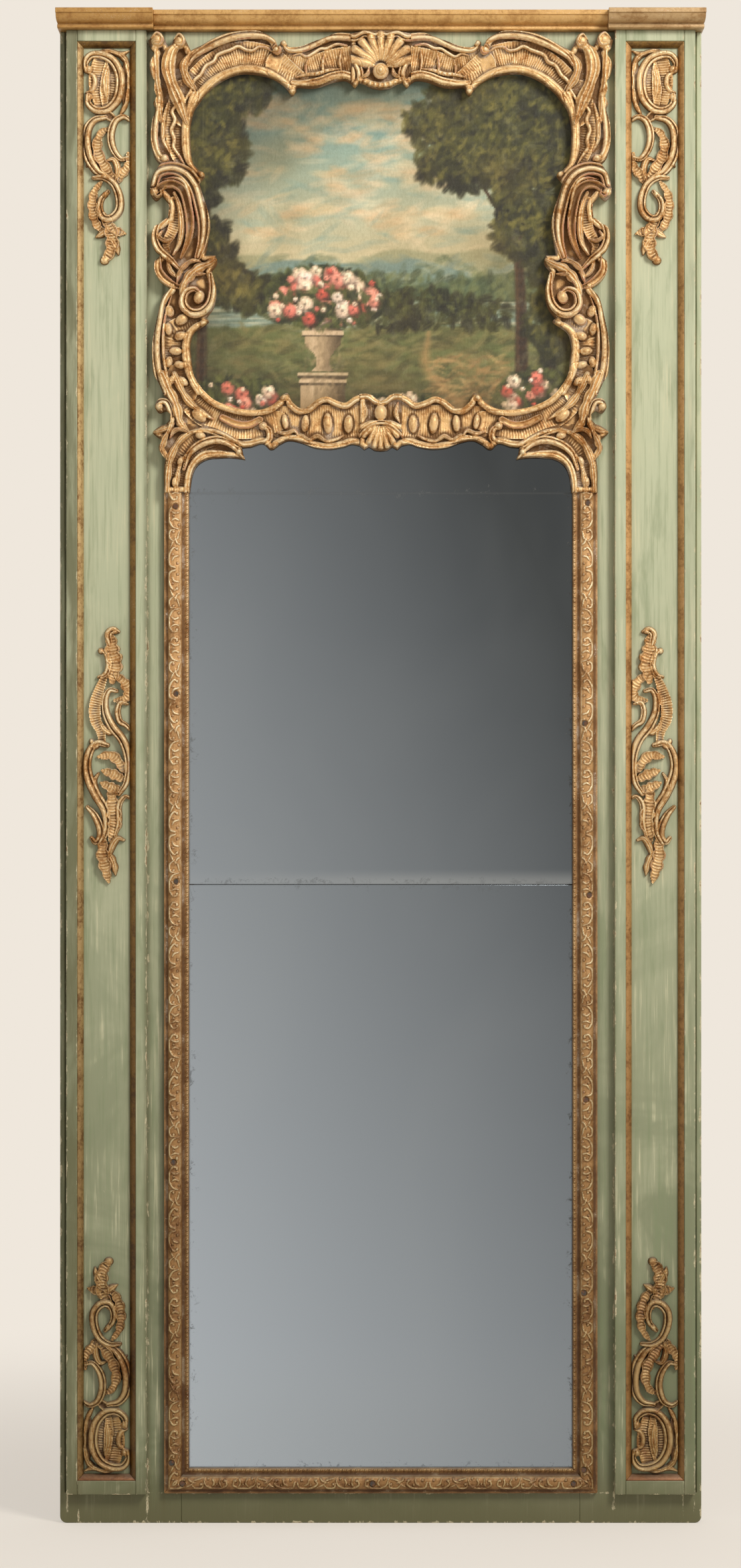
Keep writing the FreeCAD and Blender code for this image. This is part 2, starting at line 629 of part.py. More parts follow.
def sawn(runs, back, thickness, place):
    """A flat board sawn to an outline, its back at a distance forwards of the wall."""
    face = Part.Face(outline(runs, lambda *point: place(*point) + Vector(0, -back, 0), in_flats=True))
    return face.extrude(Vector(0, -thickness, 0))


def whole(shape):
    """The body of a carving, without loose chips. Its flats are joined up where that leaves it sound."""
    body = max(shape.Solids, key=lambda each: each.Volume)
    try:
        joined = body.removeSplitter()
    except Part.OCCError:
        return body
    return joined.Solids[0] if joined.isValid() and len(joined.Solids) == 1 else body


def carved(runs, strokes, eggs):
    """One carved board of the cartouche, with its relief cut back to the board's own outline."""
    board_depth, relief = size("carving_board"), size("carving_relief")
    foot = ground_front + board_depth - SUNK
    blank = sawn(runs, ground_front, board_depth, on_cartouche)
    reliefs = [ridge(line, half_width, share * relief, foot, on_cartouche) for line, half_width, share in strokes]
    reliefs += [egg(*shape, share * relief, foot, on_cartouche) for *shape, share in eggs]
    limits = sawn(runs, ground_front, board_depth + 2 * relief, on_cartouche)
    return whole(blank.multiFuse(reliefs).common(limits))


# The right half of the cartouche, from the crest round to the foot: sight edge, outer edge and joints.
CREST_SEAM = 44.0
UPPER_JOINT = 2066.0
LOWER_JOINT = 1660.0
FOOT_SEAM = 31.0

top_outline = (
    ((CREST_SEAM, 2096), ), ((CREST_SEAM, 2168), (63, 2168), (93, 2157), (118, 2148), (133, 2149)),
    ((141, 2158), (146, 2155)), ((145, 2150),),
    ((149, 2146), (156, 2160), (173, 2169), (193, 2171), (233, 2165), (262, 2150)),
    ((276, 2143), (291, 2168)), ((306, 2149),), ((309, 2149), (322, 2170)),
    ((338, 2158), (335, 2147), (329, 2138), (336, 2123), (334, 2108)),
    ((328, 2098), (329, 2085), (326, 2075)), ((331, UPPER_JOINT),),
    ((265, UPPER_JOINT), (253, 2082), (233, 2098), (213, 2107.5), (193, 2110), (163, 2105), (143, 2094)),
    ((134, 2084), (129, 2078)), ((123, 2084), (121, 2090), (103, 2089), (88, 2091), (68, 2098), (52, 2100)),
)
top_strokes = (
    (((147, 2146), (152, 2155), (164, 2163), (178, 2166), (196, 2166), (215, 2163), (235, 2156), (253, 2147),
      (270, 2136)), 7, 0.75),
    (((137, 2092), (150, 2103), (168, 2112), (193, 2116), (215, 2112), (236, 2103), (254, 2089), (270, 2070),
      (274, 2058)), 6, 0.4),
    (((152, 2136), (162, 2147), (176, 2149), (193, 2142), (210, 2147), (228, 2143), (248, 2130), (268, 2112)),
     5, 0.5),
    (((142, 2150), (133, 2143), (115, 2144), (95, 2152), (78, 2160), (60, 2162), (40, 2160)), 6, 0.65),
    (((128, 2110), (120, 2099), (104, 2095), (88, 2097), (70, 2103), (54, 2104), (40, 2100)), 5, 0.55),
    (((58, 2140), (60, 2125), (58, 2112)), 7, 0.35),
    (((82, 2136), (84, 2122), (82, 2112)), 7, 0.35),
    (((108, 2132), (110, 2120), (108, 2110)), 7, 0.35),
    (((286, 2056), (296, 2080), (308, 2102), (314, 2125), (308, 2145), (296, 2152)), 8, 0.75),
    (((318, 2058), (323, 2080), (329, 2104), (331, 2124), (330, 2142), (324, 2154)), 7, 0.65),
)
top_eggs = (
    ((324, 2156), 11, 12, 0.95), ((292, 2154), 10, 11, 0.95), ((129, 2083), 5, 5, 0.55),
    ((145, 2150), 6, 6, 0.75),
)

side_outline = (
    ((265, UPPER_JOINT),), ((331, UPPER_JOINT), (328, 2056), (333, 2035), (334, 2010), (329, 1988)),
    ((320, 1977), (330, 1964)), ((334, 1951), (335, 1935), (327, 1925)), ((318, 1932), (308, 1918)),
    ((309, 1900), (320, 1892), (330, 1884), (333, 1866), (328, 1852)),
    ((319, 1845), (328, 1836), (328, 1820), (320, 1807)), ((306, 1797), (318, 1782), (326, 1750), (332, 1715)),
    ((332, 1690), (330, 1672)), ((323, LOWER_JOINT),),
    ((266, LOWER_JOINT), (273, 1675), (276, 1700), (277, 1715), (272, 1732)),
    ((259, 1742), (250, 1749)), ((254, 1754), (243, 1770), (239, 1792), (243, 1812)), ((246, 1822), (238, 1834)),
    ((240, 1845),), ((255, 1845), (251, 1868), (248, 1890), (252, 1912), (260, 1937)),
    ((264, 1950), (256, 1962)), ((265, 1969), (274, 1982), (277, 2010), (277, 2032), (272, 2055)),
)
side_strokes = (
    (((325, 2072), (328, 2050), (330, 2030), (329, 2008), (324, 1990), (314, 1984)), 5, 0.6),
    (((271, 2072), (280, 2050), (283, 2030), (283, 2005), (279, 1985), (270, 1970)), 6, 0.4),
    (((331, 1946), (324, 1965), (304, 1971), (284, 1964), (270, 1947), (262, 1922), (257, 1892), (259, 1865),
      (266, 1842)), 8, 0.9),
    (((322, 1940), (304, 1953), (287, 1945), (277, 1922), (273, 1895), (276, 1866), (286, 1842)), 7, 0.75),
    (((310, 1908), (323, 1892), (328, 1870), (320, 1850), (303, 1836), (288, 1818)), 7, 0.75),
    (((322, 1840), (322, 1822), (308, 1806), (290, 1800)), 7, 0.65),
    (((241, 1840), (254, 1829), (272, 1820), (290, 1804)), 7, 0.6),
    (((248, 1812), (245, 1795), (248, 1775), (261, 1762), (277, 1762), (287, 1774), (284, 1788), (272, 1794)),
     7, 0.95),
    (((259, 1748), (270, 1742), (281, 1727), (283, 1708), (281, 1686), (273, 1664), (266, 1652)), 6, 0.4),
    (((304, 1800), (318, 1778), (324, 1752), (327, 1724), (327, 1696), (323, 1670), (317, 1650)), 7, 0.65),
)
side_eggs = (
    ((328, 1932), 7, 7, 0.8), ((260, 1963), 5, 5, 0.55), ((262, 1786), 8, 9, 0.75),
    ((292, 1746), 8, 10, 0.5), ((297, 1714), 7, 10, 0.5), ((295, 1680), 7, 10, 0.5),
)

foot_outline = (
    ((FOOT_SEAM, 1643), (38, 1640), (52, 1631), (66, 1635), (78, 1640), (92, 1636), (106, 1625), (118, 1623)),
    ((129, 1632), (136, 1645)), ((147, 1638), (150, 1633), (169, 1622), (192, 1620.5), (218, 1625), (242, 1635)),
    ((258, 1649), (266, LOWER_JOINT)), ((266.5, LOWER_JOINT),), ((323, LOWER_JOINT), (317, 1646)),
    ((313, 1637), (322, 1637), (328, 1625), (322, 1616), (312, 1619)), ((305, 1613), (307, 1606)),
    ((312, 1600),), ((262, 1600), (238, 1593), (214, 1581)), ((202, 1566),),
    ((190, 1567), (172, 1572), (160, 1563), (148, 1570), (134, 1576), (116, 1573), (96, 1566), (74, 1564)),
    ((54, 1567), (42, 1571)), ((FOOT_SEAM, 1569),),
)
foot_strokes = (
    (((270, 1666), (256, 1645), (238, 1631), (214, 1621), (190, 1617), (167, 1619), (150, 1627), (142, 1637)),
     6, 0.4),
    (((135, 1638), (122, 1624), (106, 1622), (93, 1631), (79, 1635), (64, 1629), (50, 1627), (36, 1635),
      (24, 1638)), 5, 0.55),
    (((152, 1566), (135, 1571), (118, 1568), (98, 1563), (76, 1560), (55, 1563), (38, 1569), (24, 1572)), 6, 0.55),
    (((314, 1668), (306, 1645), (297, 1625), (290, 1600), (280, 1590)), 8, 0.7),
    (((296, 1668), (287, 1650), (278, 1632), (262, 1617), (246, 1607)), 7, 0.5),
    (((303, 1596), (305, 1618), (312, 1630), (321, 1630), (324, 1622)), 6, 0.7),
    (((172, 1596), (163, 1589), (164, 1577), (178, 1571), (196, 1568), (212, 1574)), 5, 0.55),
)
foot_eggs = (
    ((141, 1637), 5, 5, 0.55), ((322, 1624), 7, 7, 0.8), ((264, 1612), 12, 8, 0.5), ((139, 1603), 5, 11, 0.45),
    ((110, 1601), 6, 13, 0.5), ((77, 1601), 7, 16, 0.55), ((47, 1600), 7, 13, 0.5), ((153, 1567), 6, 5, 0.55),
    ((171, 1595), 6, 6, 0.5),
)

corner_outline = (
    ((315, 1500), (315, 1534)), ((313, 1549), (319, 1556), (323, 1566), (319, 1576), (331, 1587), (322, 1596)),
    ((312, 1600),), ((262, 1600), (238, 1593), (214, 1581)), ((202, 1566), (200, 1556)),
    ((197, 1549), (215, 1551), (235, 1551), (252, 1549), (266, 1541), (274, 1526)), ((278, 1500),),
)
corner_strokes = (
    (((284, 1536), (276, 1556), (260, 1570), (240, 1576), (222, 1572), (208, 1561), (200, 1551)), 6, 0.6),
    (((281, 1492), (280, 1518), (273, 1541), (257, 1555), (238, 1557), (220, 1555), (204, 1552)), 4, 0.45),
    (((311, 1490), (310, 1520), (307, 1548), (297, 1570), (283, 1584), (266, 1588), (252, 1586)), 5, 0.55),
    (((311, 1552), (318, 1562), (316, 1575), (309, 1588), (303, 1604)), 5, 0.65),
    (((329, 1587), (318, 1589), (306, 1594)), 5, 0.55),
)
corner_eggs = (((262, 1581), 8, 6, 0.5), ((206, 1558), 5, 5, 0.5))

for name, *pattern in (
    ("cartouche_top", top_outline, top_strokes, top_eggs),
    ("cartouche_side", side_outline, side_strokes, side_eggs),
    ("cartouche_foot", foot_outline, foot_strokes, foot_eggs),
    ("mirror_corner", corner_outline, corner_strokes, corner_eggs),
):
    piece = feature(f"right_{name}", carved(*pattern))
    mirrored(f"left_{name}", piece)


# The two shells on the centre line: ribs fan out from an eye, over a scalloped board.
def both_sides(points):
    """A symmetrical outline from its right half, which runs from the middle of the top to the middle of the foot."""
    return tuple(((x, z),) for x, z in points) + tuple(((-x, z),) for x, z in points[::-1] if x > 0)


def fan(eye, first_turn, last_turn, count, inner, outer, half_width, share):
    """Ribs of a shell, from degrees to degrees round its eye."""
    ribs = []
    for number in range(count):
        turn = math.radians(first_turn + (last_turn - first_turn) * number / (count - 1))
        line = [(eye[0] + reach * math.cos(turn), eye[1] + reach * math.sin(turn))
                for reach in (inner, (inner + outer) / 2, outer, outer + inner / 2)]
        ribs.append((line, half_width, share))
    return ribs


crest_half = both_sides(((0, DRAWN_CREST), (22, DRAWN_CREST), (CREST_SEAM, 2168), (CREST_SEAM, 2096),
                         (38, 2089), (31, 2097), (24, 2095), (13, 2089), (0, 2087)))
crest_strokes = fan((0, 2120), 20, 160, 7, 12, 46, 7, 0.95)
crest_strokes += [
    (((38, 2090), (30, 2104), (34, 2120), (42, 2132)), 5, 0.6),
    (((-38, 2090), (-30, 2104), (-34, 2120), (-42, 2132)), 5, 0.6),
    (((-26, 2098), (-12, 2093), (0, 2091), (12, 2093), (26, 2098)), 5, 0.5),
]
crest_eggs = [((0, 2114), 12, 12, 0.8)]
feature("crest_shell", carved(crest_half, crest_strokes, crest_eggs))

foot_shell_half = both_sides(((0, 1633), (5, 1636), (12, 1642), (22, 1644), (FOOT_SEAM, 1643), (FOOT_SEAM, 1569),
                              (24, 1563), (17, 1567), (9, 1562), (0, DRAWN_FOOT)))
foot_shell_strokes = fan((0, 1616), 205, 335, 6, 14, 44, 6, 0.85)
foot_shell_strokes += [
    (((30, 1638), (18, 1638), (8, 1632), (0, 1630), (-8, 1632), (-18, 1638), (-30, 1638)), 5, 0.5),
    (((24, 1628), (22, 1614), (26, 1600)), 5, 0.6),
    (((-24, 1628), (-22, 1614), (-26, 1600)), 5, 0.6),
]
foot_shell_eggs = [((0, 1613), 10, 13, 0.8)]
feature("foot_shell", carved(foot_shell_half, foot_shell_strokes, foot_shell_eggs))

# The pilasters' ornaments: open scrollwork laid on the sunk field. Each pattern is drawn about the pilaster's
# middle, with the left one's outer side at -X. The lowest ornament is the highest one turned half round.
scroll_strokes = (
    (((-29, 2114), (-31, 2125), (-23, 2136), (-8, 2137), (8, 2129), (18, 2112), (20, 2092), (15, 2072),
      (2, 2058), (-14, 2056), (-26, 2065), (-27, 2078)), 7, 1),
    (((-9, 2134), (-8, 2098), (-8, 2062)), 12, 0.55),
    (((6, 2126), (5, 2096), (0, 2062)), 12, 0.6),
    (((-4, 2142), (12, 2141), (26, 2131), (31, 2116), (33, 2098), (31, 2082), (28, 2066), (20, 2050)), 6, 0.6),
    (((-14, 2141), (4, 2142), (20, 2138), (33, 2143)), 5, 0.6),
    (((-2, 2046), (-18, 2042), (-28, 2028), (-30, 2006), (-25, 1985), (-13, 1967), (3, 1958)), 7, 0.9),
    (((2, 2030), (-9, 2022), (-14, 2004), (-9, 1985), (3, 1967), (15, 1948)), 8, 0.7),
    (((-14, 2050), (0, 2050), (14, 2040)), 6, 0.6),
    (((34, 2042), (24, 2047), (12, 2040), (6, 2021), (9, 2001), (20, 1986), (31, 1987)), 5, 0.85),
    (((31, 1994), (33, 1978), (23, 1964), (14, 1950)), 7, 0.65),
    (((-19, 1958), (-4, 1958), (10, 1949), (18, 1931), (18, 1912), (8, 1900), (-4, 1900), (-10, 1912),
      (-8, 1926), (2, 1938)), 6, 0.95),
    (((-8, 1952), (-18, 1937), (-21, 1918), (-18, 1899), (-10, 1884), (4, 1876)), 7, 0.6),
    (((-4, 1904), (5, 1884), (8, 1864), (4, 1848), (-4, 1839)), 10, 0.8),
    (((0, 1892), (13, 1881), (27, 1877)), 7, 0.65),
)
scroll_eggs = (((-26, 2116), 5, 6, 0.6), ((-26, 2075), 5, 6, 0.6), ((-3, 1838), 7, 7, 0.6))
centre_strokes = (
    (((17, 1298), (9, 1301), (2, 1294), (5, 1280)), 5, 0.8),
    (((6, 1293), (8, 1270), (12, 1250), (8, 1226)), 12, 0.8),
    (((-10, 1272), (-1, 1266), (3, 1250), (-2, 1236), (-12, 1232)), 4, 0.6),
    (((12, 1236), (26, 1224), (32, 1208), (24, 1199), (12, 1198)), 9, 0.6),
    (((-2, 1236), (-11, 1212), (-17, 1190), (-16, 1170), (-9, 1154), (-6, 1134)), 8, 0.65),
    (((14, 1212), (4, 1213), (-2, 1200), (-1, 1180), (8, 1160), (22, 1142), (30, 1122), (32, 1100), (28, 1078),
      (18, 1062)), 6, 1),
    (((30, 1193), (20, 1194), (16, 1182), (19, 1168), (28, 1162), (36, 1153)), 4, 0.65),
    (((-9, 1164), (0, 1154), (12, 1150)), 6, 0.5),
    (((1, 1133), (-14, 1136), (-24, 1125), (-29, 1105), (-26, 1085), (-16, 1062), (-4, 1042), (0, 1025),
      (-2, 1005), (-9, 991)), 7, 0.95),
    (((-23, 1141), (-18, 1131), (-9, 1136)), 4, 0.5),
    (((-12, 1116), (6, 1118), (18, 1108), (24, 1094)), 9, 0.6),
    (((-8, 1078), (8, 1071), (22, 1068)), 9, 0.55),
    (((6, 1072), (9, 1045), (12, 1020), (6, 994)), 11, 0.7),
    (((34, 1056), (26, 1058), (18, 1045), (18, 1020), (12, 1000)), 4, 0.65),
    (((-28, 1043), (-18, 1032), (-10, 1015), (-9, 1000), (-16, 992), (-22, 998)), 6, 0.75),
    (((25, 995), (16, 997), (8, 986), (2, 968)), 5, 0.7),
    (((-5, 998), (-6, 975), (-2, 955), (3, 934)), 10, 0.8),
    (((2, 978), (10, 962), (13, 944)), 6, 0.55),
)
centre_eggs = (((12, 1298), 5, 4, 0.7), ((-8, 1270), 5, 5, 0.6), ((-22, 1138), 4, 5, 0.5))


def scrollwork(strokes, eggs, place):
    relief = size("applique_relief")
    solids = [ridge(line, half_width, share * relief - SUNK, field_front, place)
              for line, half_width, share in strokes]
    solids += [egg(*shape, share * relief, field_front, place) for *shape, share in eggs]
    low = Vector(-pilaster_middle - clear_half, -field_front - 2 * relief, field_foot + clear_border)
    limits = Part.makeBox(2 * clear_half, 2 * relief, field_top - field_foot - 2 * clear_border, low)
    return whole(solids[0].multiFuse(solids[1:]).common(limits))


clear_border = gilt_width + size("ornament_clearance")
clear_half = field_half - clear_border
spread = 2 * (field_half - gilt_width) / DRAWN_FIELD_WIDTH
field_middle = (field_foot + field_top) / 2
upper_ornament = scrollwork(
    scroll_strokes, scroll_eggs,
    lambda x, z: Vector(-pilaster_middle + x * spread, 0, field_top + z - DRAWN_FIELD_TOP))
feature("left_upper_ornament", upper_ornament)
half_turn = FreeCAD.Rotation(Vector(0, 1, 0), 180)
field_centre = Vector(-pilaster_middle, 0, field_middle)
feature("left_lower_ornament", upper_ornament, FreeCAD.Placement(Vector(), half_turn, field_centre))
feature("left_middle_ornament", scrollwork(
    centre_strokes, centre_eggs,
    lambda x, z: Vector(-pilaster_middle + x * spread, 0, field_middle + z - DRAWN_FIELD_MIDDLE)))
for level in ("upper", "lower", "middle"):
    mirrored(f"right_{level}_ornament", doc.getObject(f"left_{level}_ornament"))


def check_and_write():
    doc.recompute()
    for item in doc.Objects:
        if any(state in item.State for state in ("Invalid", "Error")):
            raise RuntimeError(f"{item.Label} did not build: {item.State}")
    os.makedirs("parts", exist_ok=True)
    for item in parts:
        if item.Shape.isNull() or not item.Shape.isValid():
            raise RuntimeError(f"{item.Label} has no sound shape")
        item.Shape.exportStep(os.path.join("parts", item.Label + ".step"))


check_and_write()
print(len(parts), "pieces")
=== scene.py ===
import math

import bmesh
import bpy
import numpy as np
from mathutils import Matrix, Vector


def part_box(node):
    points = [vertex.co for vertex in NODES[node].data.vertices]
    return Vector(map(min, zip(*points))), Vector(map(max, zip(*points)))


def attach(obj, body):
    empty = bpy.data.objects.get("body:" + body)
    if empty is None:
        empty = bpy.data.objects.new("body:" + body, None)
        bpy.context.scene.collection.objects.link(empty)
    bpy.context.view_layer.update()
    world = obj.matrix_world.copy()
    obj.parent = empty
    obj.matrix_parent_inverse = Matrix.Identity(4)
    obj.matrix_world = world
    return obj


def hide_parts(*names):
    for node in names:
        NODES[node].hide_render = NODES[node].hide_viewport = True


bl_info = {
    "name": "Trumeau mirror",
    "version": (1, 0, 0),
    "blender": (4, 5, 0),
    "location": "View3D > Sidebar > Trumeau",
    "description": "Dresses the trumeau's frame: painted joinery, gilt carving, old plates and a painted canvas",
    "category": "Object",
}

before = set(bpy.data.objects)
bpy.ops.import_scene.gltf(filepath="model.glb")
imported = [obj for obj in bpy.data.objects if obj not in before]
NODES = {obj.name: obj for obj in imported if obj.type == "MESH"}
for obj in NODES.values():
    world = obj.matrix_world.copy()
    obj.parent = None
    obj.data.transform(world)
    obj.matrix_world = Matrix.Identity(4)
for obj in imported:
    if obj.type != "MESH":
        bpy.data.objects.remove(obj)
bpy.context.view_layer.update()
BODY = "root"
MM = 0.001
SIDES = ("left", "right")
SIGNS = (-1, 1)
SEED = 7


def edges_of(node):
    """A node's low and high corner, in millimetres."""
    low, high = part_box(node)
    return [value / MM for value in low], [value / MM for value in high]


# Where the frame's main pieces are.
PANEL_LOW = edges_of("left_stile")[0]
OPENING_HALF = edges_of("lower_glass")[1][0]
PLATE_JOINT = edges_of("upper_glass")[0][2]
GROUND_FRONT = -PANEL_LOW[1]
FIELD_FRONT = -edges_of("left_pilaster_field")[0][1]
GILT_INSIDE = (edges_of("left_gilt_outer")[1][0], edges_of("left_gilt_inner")[0][0])
FIELD_MIDDLE = sum(GILT_INSIDE) / 2
FIELD_BORDER = (GILT_INSIDE[1] - GILT_INSIDE[0]) / 2 - 0.3
FIELD_TOP = edges_of("left_gilt_top")[0][2] - 0.3
FIELD_CENTRE = (edges_of("left_upper_ornament")[1][2] + edges_of("left_lower_ornament")[0][2]) / 2
PILASTER_OUTER = -edges_of("left_pilaster_outer_stile")[0][0]
PILASTER_INNER = -edges_of("left_pilaster_inner_stile")[1][0]
PILASTER_FOOT = edges_of("left_pilaster_outer_stile")[0][2]
CANVAS_LOW, CANVAS_HIGH = edges_of("canvas")
BOARD_BACK = -edges_of("right_cartouche_side")[1][1]
BOARD_FRONT = BOARD_BACK + 12.0
CREST = edges_of("crest_shell")[1][2]
CARVING_FOOT = edges_of("foot_shell")[0][2]
MOULDING_LOW, MOULDING_HIGH = edges_of("mirror_moulding_bottom")
MOULDING_END = edges_of("mirror_moulding_left")[1][2]
MOULDING_HALF = MOULDING_HIGH[0]
MOULDING_WIDTH = edges_of("mirror_moulding_left")[1][0] + MOULDING_HALF

# The cartouche's boards: how far their ground is sunk, and their lip's width and rise.
GROUND_SUNK = 2.0
LIP_WIDTH = 9.0
LIP_RISE = 7.5
# The pilaster ornaments: how much wider they are carved than drawn, and the half width from which leaves get ribs.
ORNAMENT_WIDENING = 1.18
BROAD_LEAF = 6
# The worn edges of the stretcher and the back boards.
BACK_EDGE = 0.8

# The carver's patterns are drawn full size: the distance from the middle and the height above the base.
DRAWN_CREST = 2172.0
DRAWN_FOOT = 1561.0


# ---------------------------------------------------------------- meshes

SHARP_CARVING = math.radians(48)
SHARP_EDGE = math.radians(40)
SHARP_BOARD = math.radians(35)


def mesh_piece(name, points, faces, material, replaced=()):
    """A piece made of points in millimetres and faces of three or four corners, riding on the frame."""
    mesh = bpy.data.meshes.new(name)
    mesh.from_pydata((np.asarray(points, float) * MM).tolist(), [], np.asarray(faces).tolist()
                     if isinstance(faces, np.ndarray) else faces)
    mesh.update()
    piece = bpy.data.objects.new(name, mesh)
    bpy.context.scene.collection.objects.link(piece)
    mesh.materials.append(material)
    mesh.shade_smooth()
    mesh.set_sharp_from_angle(angle=SHARP_CARVING)
    return settle(piece, replaced)


def settle(piece, replaced=()):
    """Lets a piece ride on the body and hides the nodes it replaces."""
    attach(piece, BODY)
    if replaced:
        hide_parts(*replaced)
    return piece


def softened(node, name, material, radius):
    """A copy of a plain board with its sharp edges eased, in place of the board."""
    mesh = NODES[node].data.copy()
    mesh.name = name
    shape = bmesh.new()
    shape.from_mesh(mesh)
    bmesh.ops.remove_doubles(shape, verts=shape.verts, dist=2e-5)
    bmesh.ops.dissolve_limit(shape, angle_limit=math.radians(0.5), verts=shape.verts, edges=shape.edges)
    shape.to_mesh(mesh)
    shape.free()
    mesh.materials.clear()
    mesh.materials.append(material)
    piece = bpy.data.objects.new(name, mesh)
    bpy.context.scene.collection.objects.link(piece)
    easing = piece.modifiers.new("Eased edges", "BEVEL")
    easing.width = radius * MM
    easing.segments = 2
    easing.limit_method = "ANGLE"
    easing.angle_limit = SHARP_EDGE
    easing.harden_normals = False
    mesh.shade_smooth()
    mesh.set_sharp_from_angle(angle=SHARP_BOARD)
    return settle(piece, [node])


def give(mesh, name, values):
    """A float attribute on the mesh's points."""
    mesh.attributes.new(name, "FLOAT", "POINT").data.foreach_set("value", np.asarray(values, np.float32).ravel())


def close_back(mesh):
    """Closes the open back of a mesh with flat faces that look away from the room."""
    shape = bmesh.new()
    shape.from_mesh(mesh)
    rim = [edge for edge in shape.edges if edge.is_boundary]
    made = bmesh.ops.triangle_fill(shape, use_beauty=False, use_dissolve=False, edges=rim)["geom"]
    for face in made:
        if isinstance(face, bmesh.types.BMFace):
            face.normal_update()
            face.smooth = False
            if face.normal.y < 0:
                face.normal_flip()
    shape.to_mesh(mesh)
    shape.free()


# ---------------------------------------------------------------- the carver's relief

def smooth_line(points, spacing=1.4):
    """Evenly spaced points on a smooth curve through the given ones."""
    points = np.asarray(points, float)
    count = len(points)
    if count == 2:
        steps = max(2, int(np.linalg.norm(points[1] - points[0]) / spacing))
        share = np.linspace(0, 1, steps + 1)[:, None]
        return points[0] + (points[1] - points[0]) * share
    before = np.vstack([2 * points[0] - points[1], points[:-1]])
    after = np.vstack([points[1:], 2 * points[-1] - points[-2]])
    slopes = (after - before) / 2
    pieces = []
    for i in range(count - 1):
        length = np.linalg.norm(points[i + 1] - points[i])
        t = np.linspace(0, 1, max(2, int(length / spacing)) + 1)[:-1, None]
        pieces.append((2 * t ** 3 - 3 * t ** 2 + 1) * points[i] + (t ** 3 - 2 * t ** 2 + t) * slopes[i]
                      + (3 * t ** 2 - 2 * t ** 3) * points[i + 1] + (t ** 3 - t ** 2) * slopes[i + 1])
    return np.vstack([*pieces, points[-1:]])


def nearest_on(line, x, z):
    """For points x, z: distance to a line, signed sideways distance, and length run along it."""
    best = np.full(x.shape, 1e9)
    side = np.zeros(x.shape)
    run = np.zeros(x.shape)
    reached = 0.0
    for (ax, az), (bx, bz) in zip(line[:-1], line[1:]):
        dx, dz = bx - ax, bz - az
        length = math.hypot(dx, dz)
        if length < 1e-9:
            continue
        t = np.clip(((x - ax) * dx + (z - az) * dz) / length ** 2, 0, 1)
        gap_x, gap_z = x - ax - t * dx, z - az - t * dz
        distance = np.hypot(gap_x, gap_z)
        nearer = distance < best
        best = np.where(nearer, distance, best)
        side = np.where(nearer, np.sign(dx * gap_z - dz * gap_x) * distance, side)
        run = np.where(nearer, reached + t * length, run)
        reached += length
    return best, side, run, reached


def blurred(field, weight, radius):
    """The field averaged over a radius in cells, where the weight is set."""
    def spread(values):
        """A running average along both axes, twice."""
        for axis in (0, 1):
            for _ in range(2):
                width = 2 * radius + 1
                padded = np.pad(values, [(radius + 1, radius) if a == axis else (0, 0) for a in (0, 1)], "edge")
                total = np.cumsum(padded, axis)
                high = np.take(total, range(width, total.shape[axis]), axis)
                low = np.take(total, range(0, total.shape[axis] - width), axis)
                values = (high - low) / width
        return values
    return spread(field * weight) / np.maximum(spread(weight), 1e-3)


# How high a stroke stands at s, from -1 to 1 across it, and at run millimetres along it.
def domed(s, run, share):
    """A plain rounded stroke."""
    return np.sqrt(np.clip(1 - s ** 2, 0, 1)) ** 0.9


def scroll(s, run, share):
    """A scroll with a bold lip on one side, a groove and a fine lip on the other."""
    bold = np.sqrt(np.clip(1 - ((s + 0.34) / 0.66) ** 2, 0, 1))
    fine = 0.72 * np.sqrt(np.clip(1 - ((s - 0.62) / 0.38) ** 2, 0, 1))
    return np.maximum(np.maximum(bold, fine), 0.34 * (1 - np.abs(s) ** 6))


def twin(s, run, share):
    """A hollow band with a lip on each side."""
    lips = np.sqrt(np.clip(1 - ((np.abs(s) - 0.74) / 0.26) ** 2, 0, 1))
    return np.maximum(0.92 * lips, 0.3 + 0.3 * s ** 2) * (1 - np.clip(np.abs(s) - 0.97, 0, 1) * 8)


def leaf(s, run, share):
    """A leaf with ribs along it, which fade towards its curled tip."""
    ribs = 0.13 * np.cos(2 * math.pi * 1.5 * s) * (1 - share ** 4)
    return np.clip(0.9 * np.sqrt(np.clip(1 - s ** 2, 0, 1)) - ribs * (1 - s ** 4), 0, 1.2)


def ribbed(s, run, share):
    """A hollowed leaf: a lip along each side and bold ribs across."""
    lips = np.sqrt(np.clip(1 - ((np.abs(s) - 0.84) / 0.16) ** 2, 0, 1))
    ribs = 0.085 * np.cos(2 * math.pi * (run / 4.4 + 0.5 * s ** 2)) + 0.06 * np.cos(2 * math.pi * run / 17)
    return np.maximum(lips, np.clip(0.6 + 0.12 * s ** 2 + ribs, 0, 1) * (1 - s ** 8))


def grooved(s, run, share):
    """A broad scroll with three lips and two grooves."""
    lips = np.sqrt(np.clip(1 - ((np.abs(s) - 0.78) / 0.22) ** 2, 0, 1))
    middle = np.sqrt(np.clip(1 - (s / 0.42) ** 2, 0, 1))
    return np.maximum(np.maximum(0.8 * lips, 0.95 * middle), 0.42 * (1 - s ** 8))


def flute(s, run, share):
    """A shallow cove with fine ribs across it."""
    ribs = 0.13 * np.cos(2 * math.pi * run / 3.6) + 0.07 * np.cos(2 * math.pi * (run / 21 + 0.3 * s))
    return np.clip(0.34 + 0.6 * s ** 2 + ribs * (1 - s ** 4), 0, 1.2)


def shell(s, run, share):
    """Broad gadroons across the stroke, as on a rocaille edge."""
    return np.sqrt(np.clip(1 - s ** 2, 0, 1)) * (0.62 + 0.38 * np.abs(np.cos(math.pi * run / 7.5)))


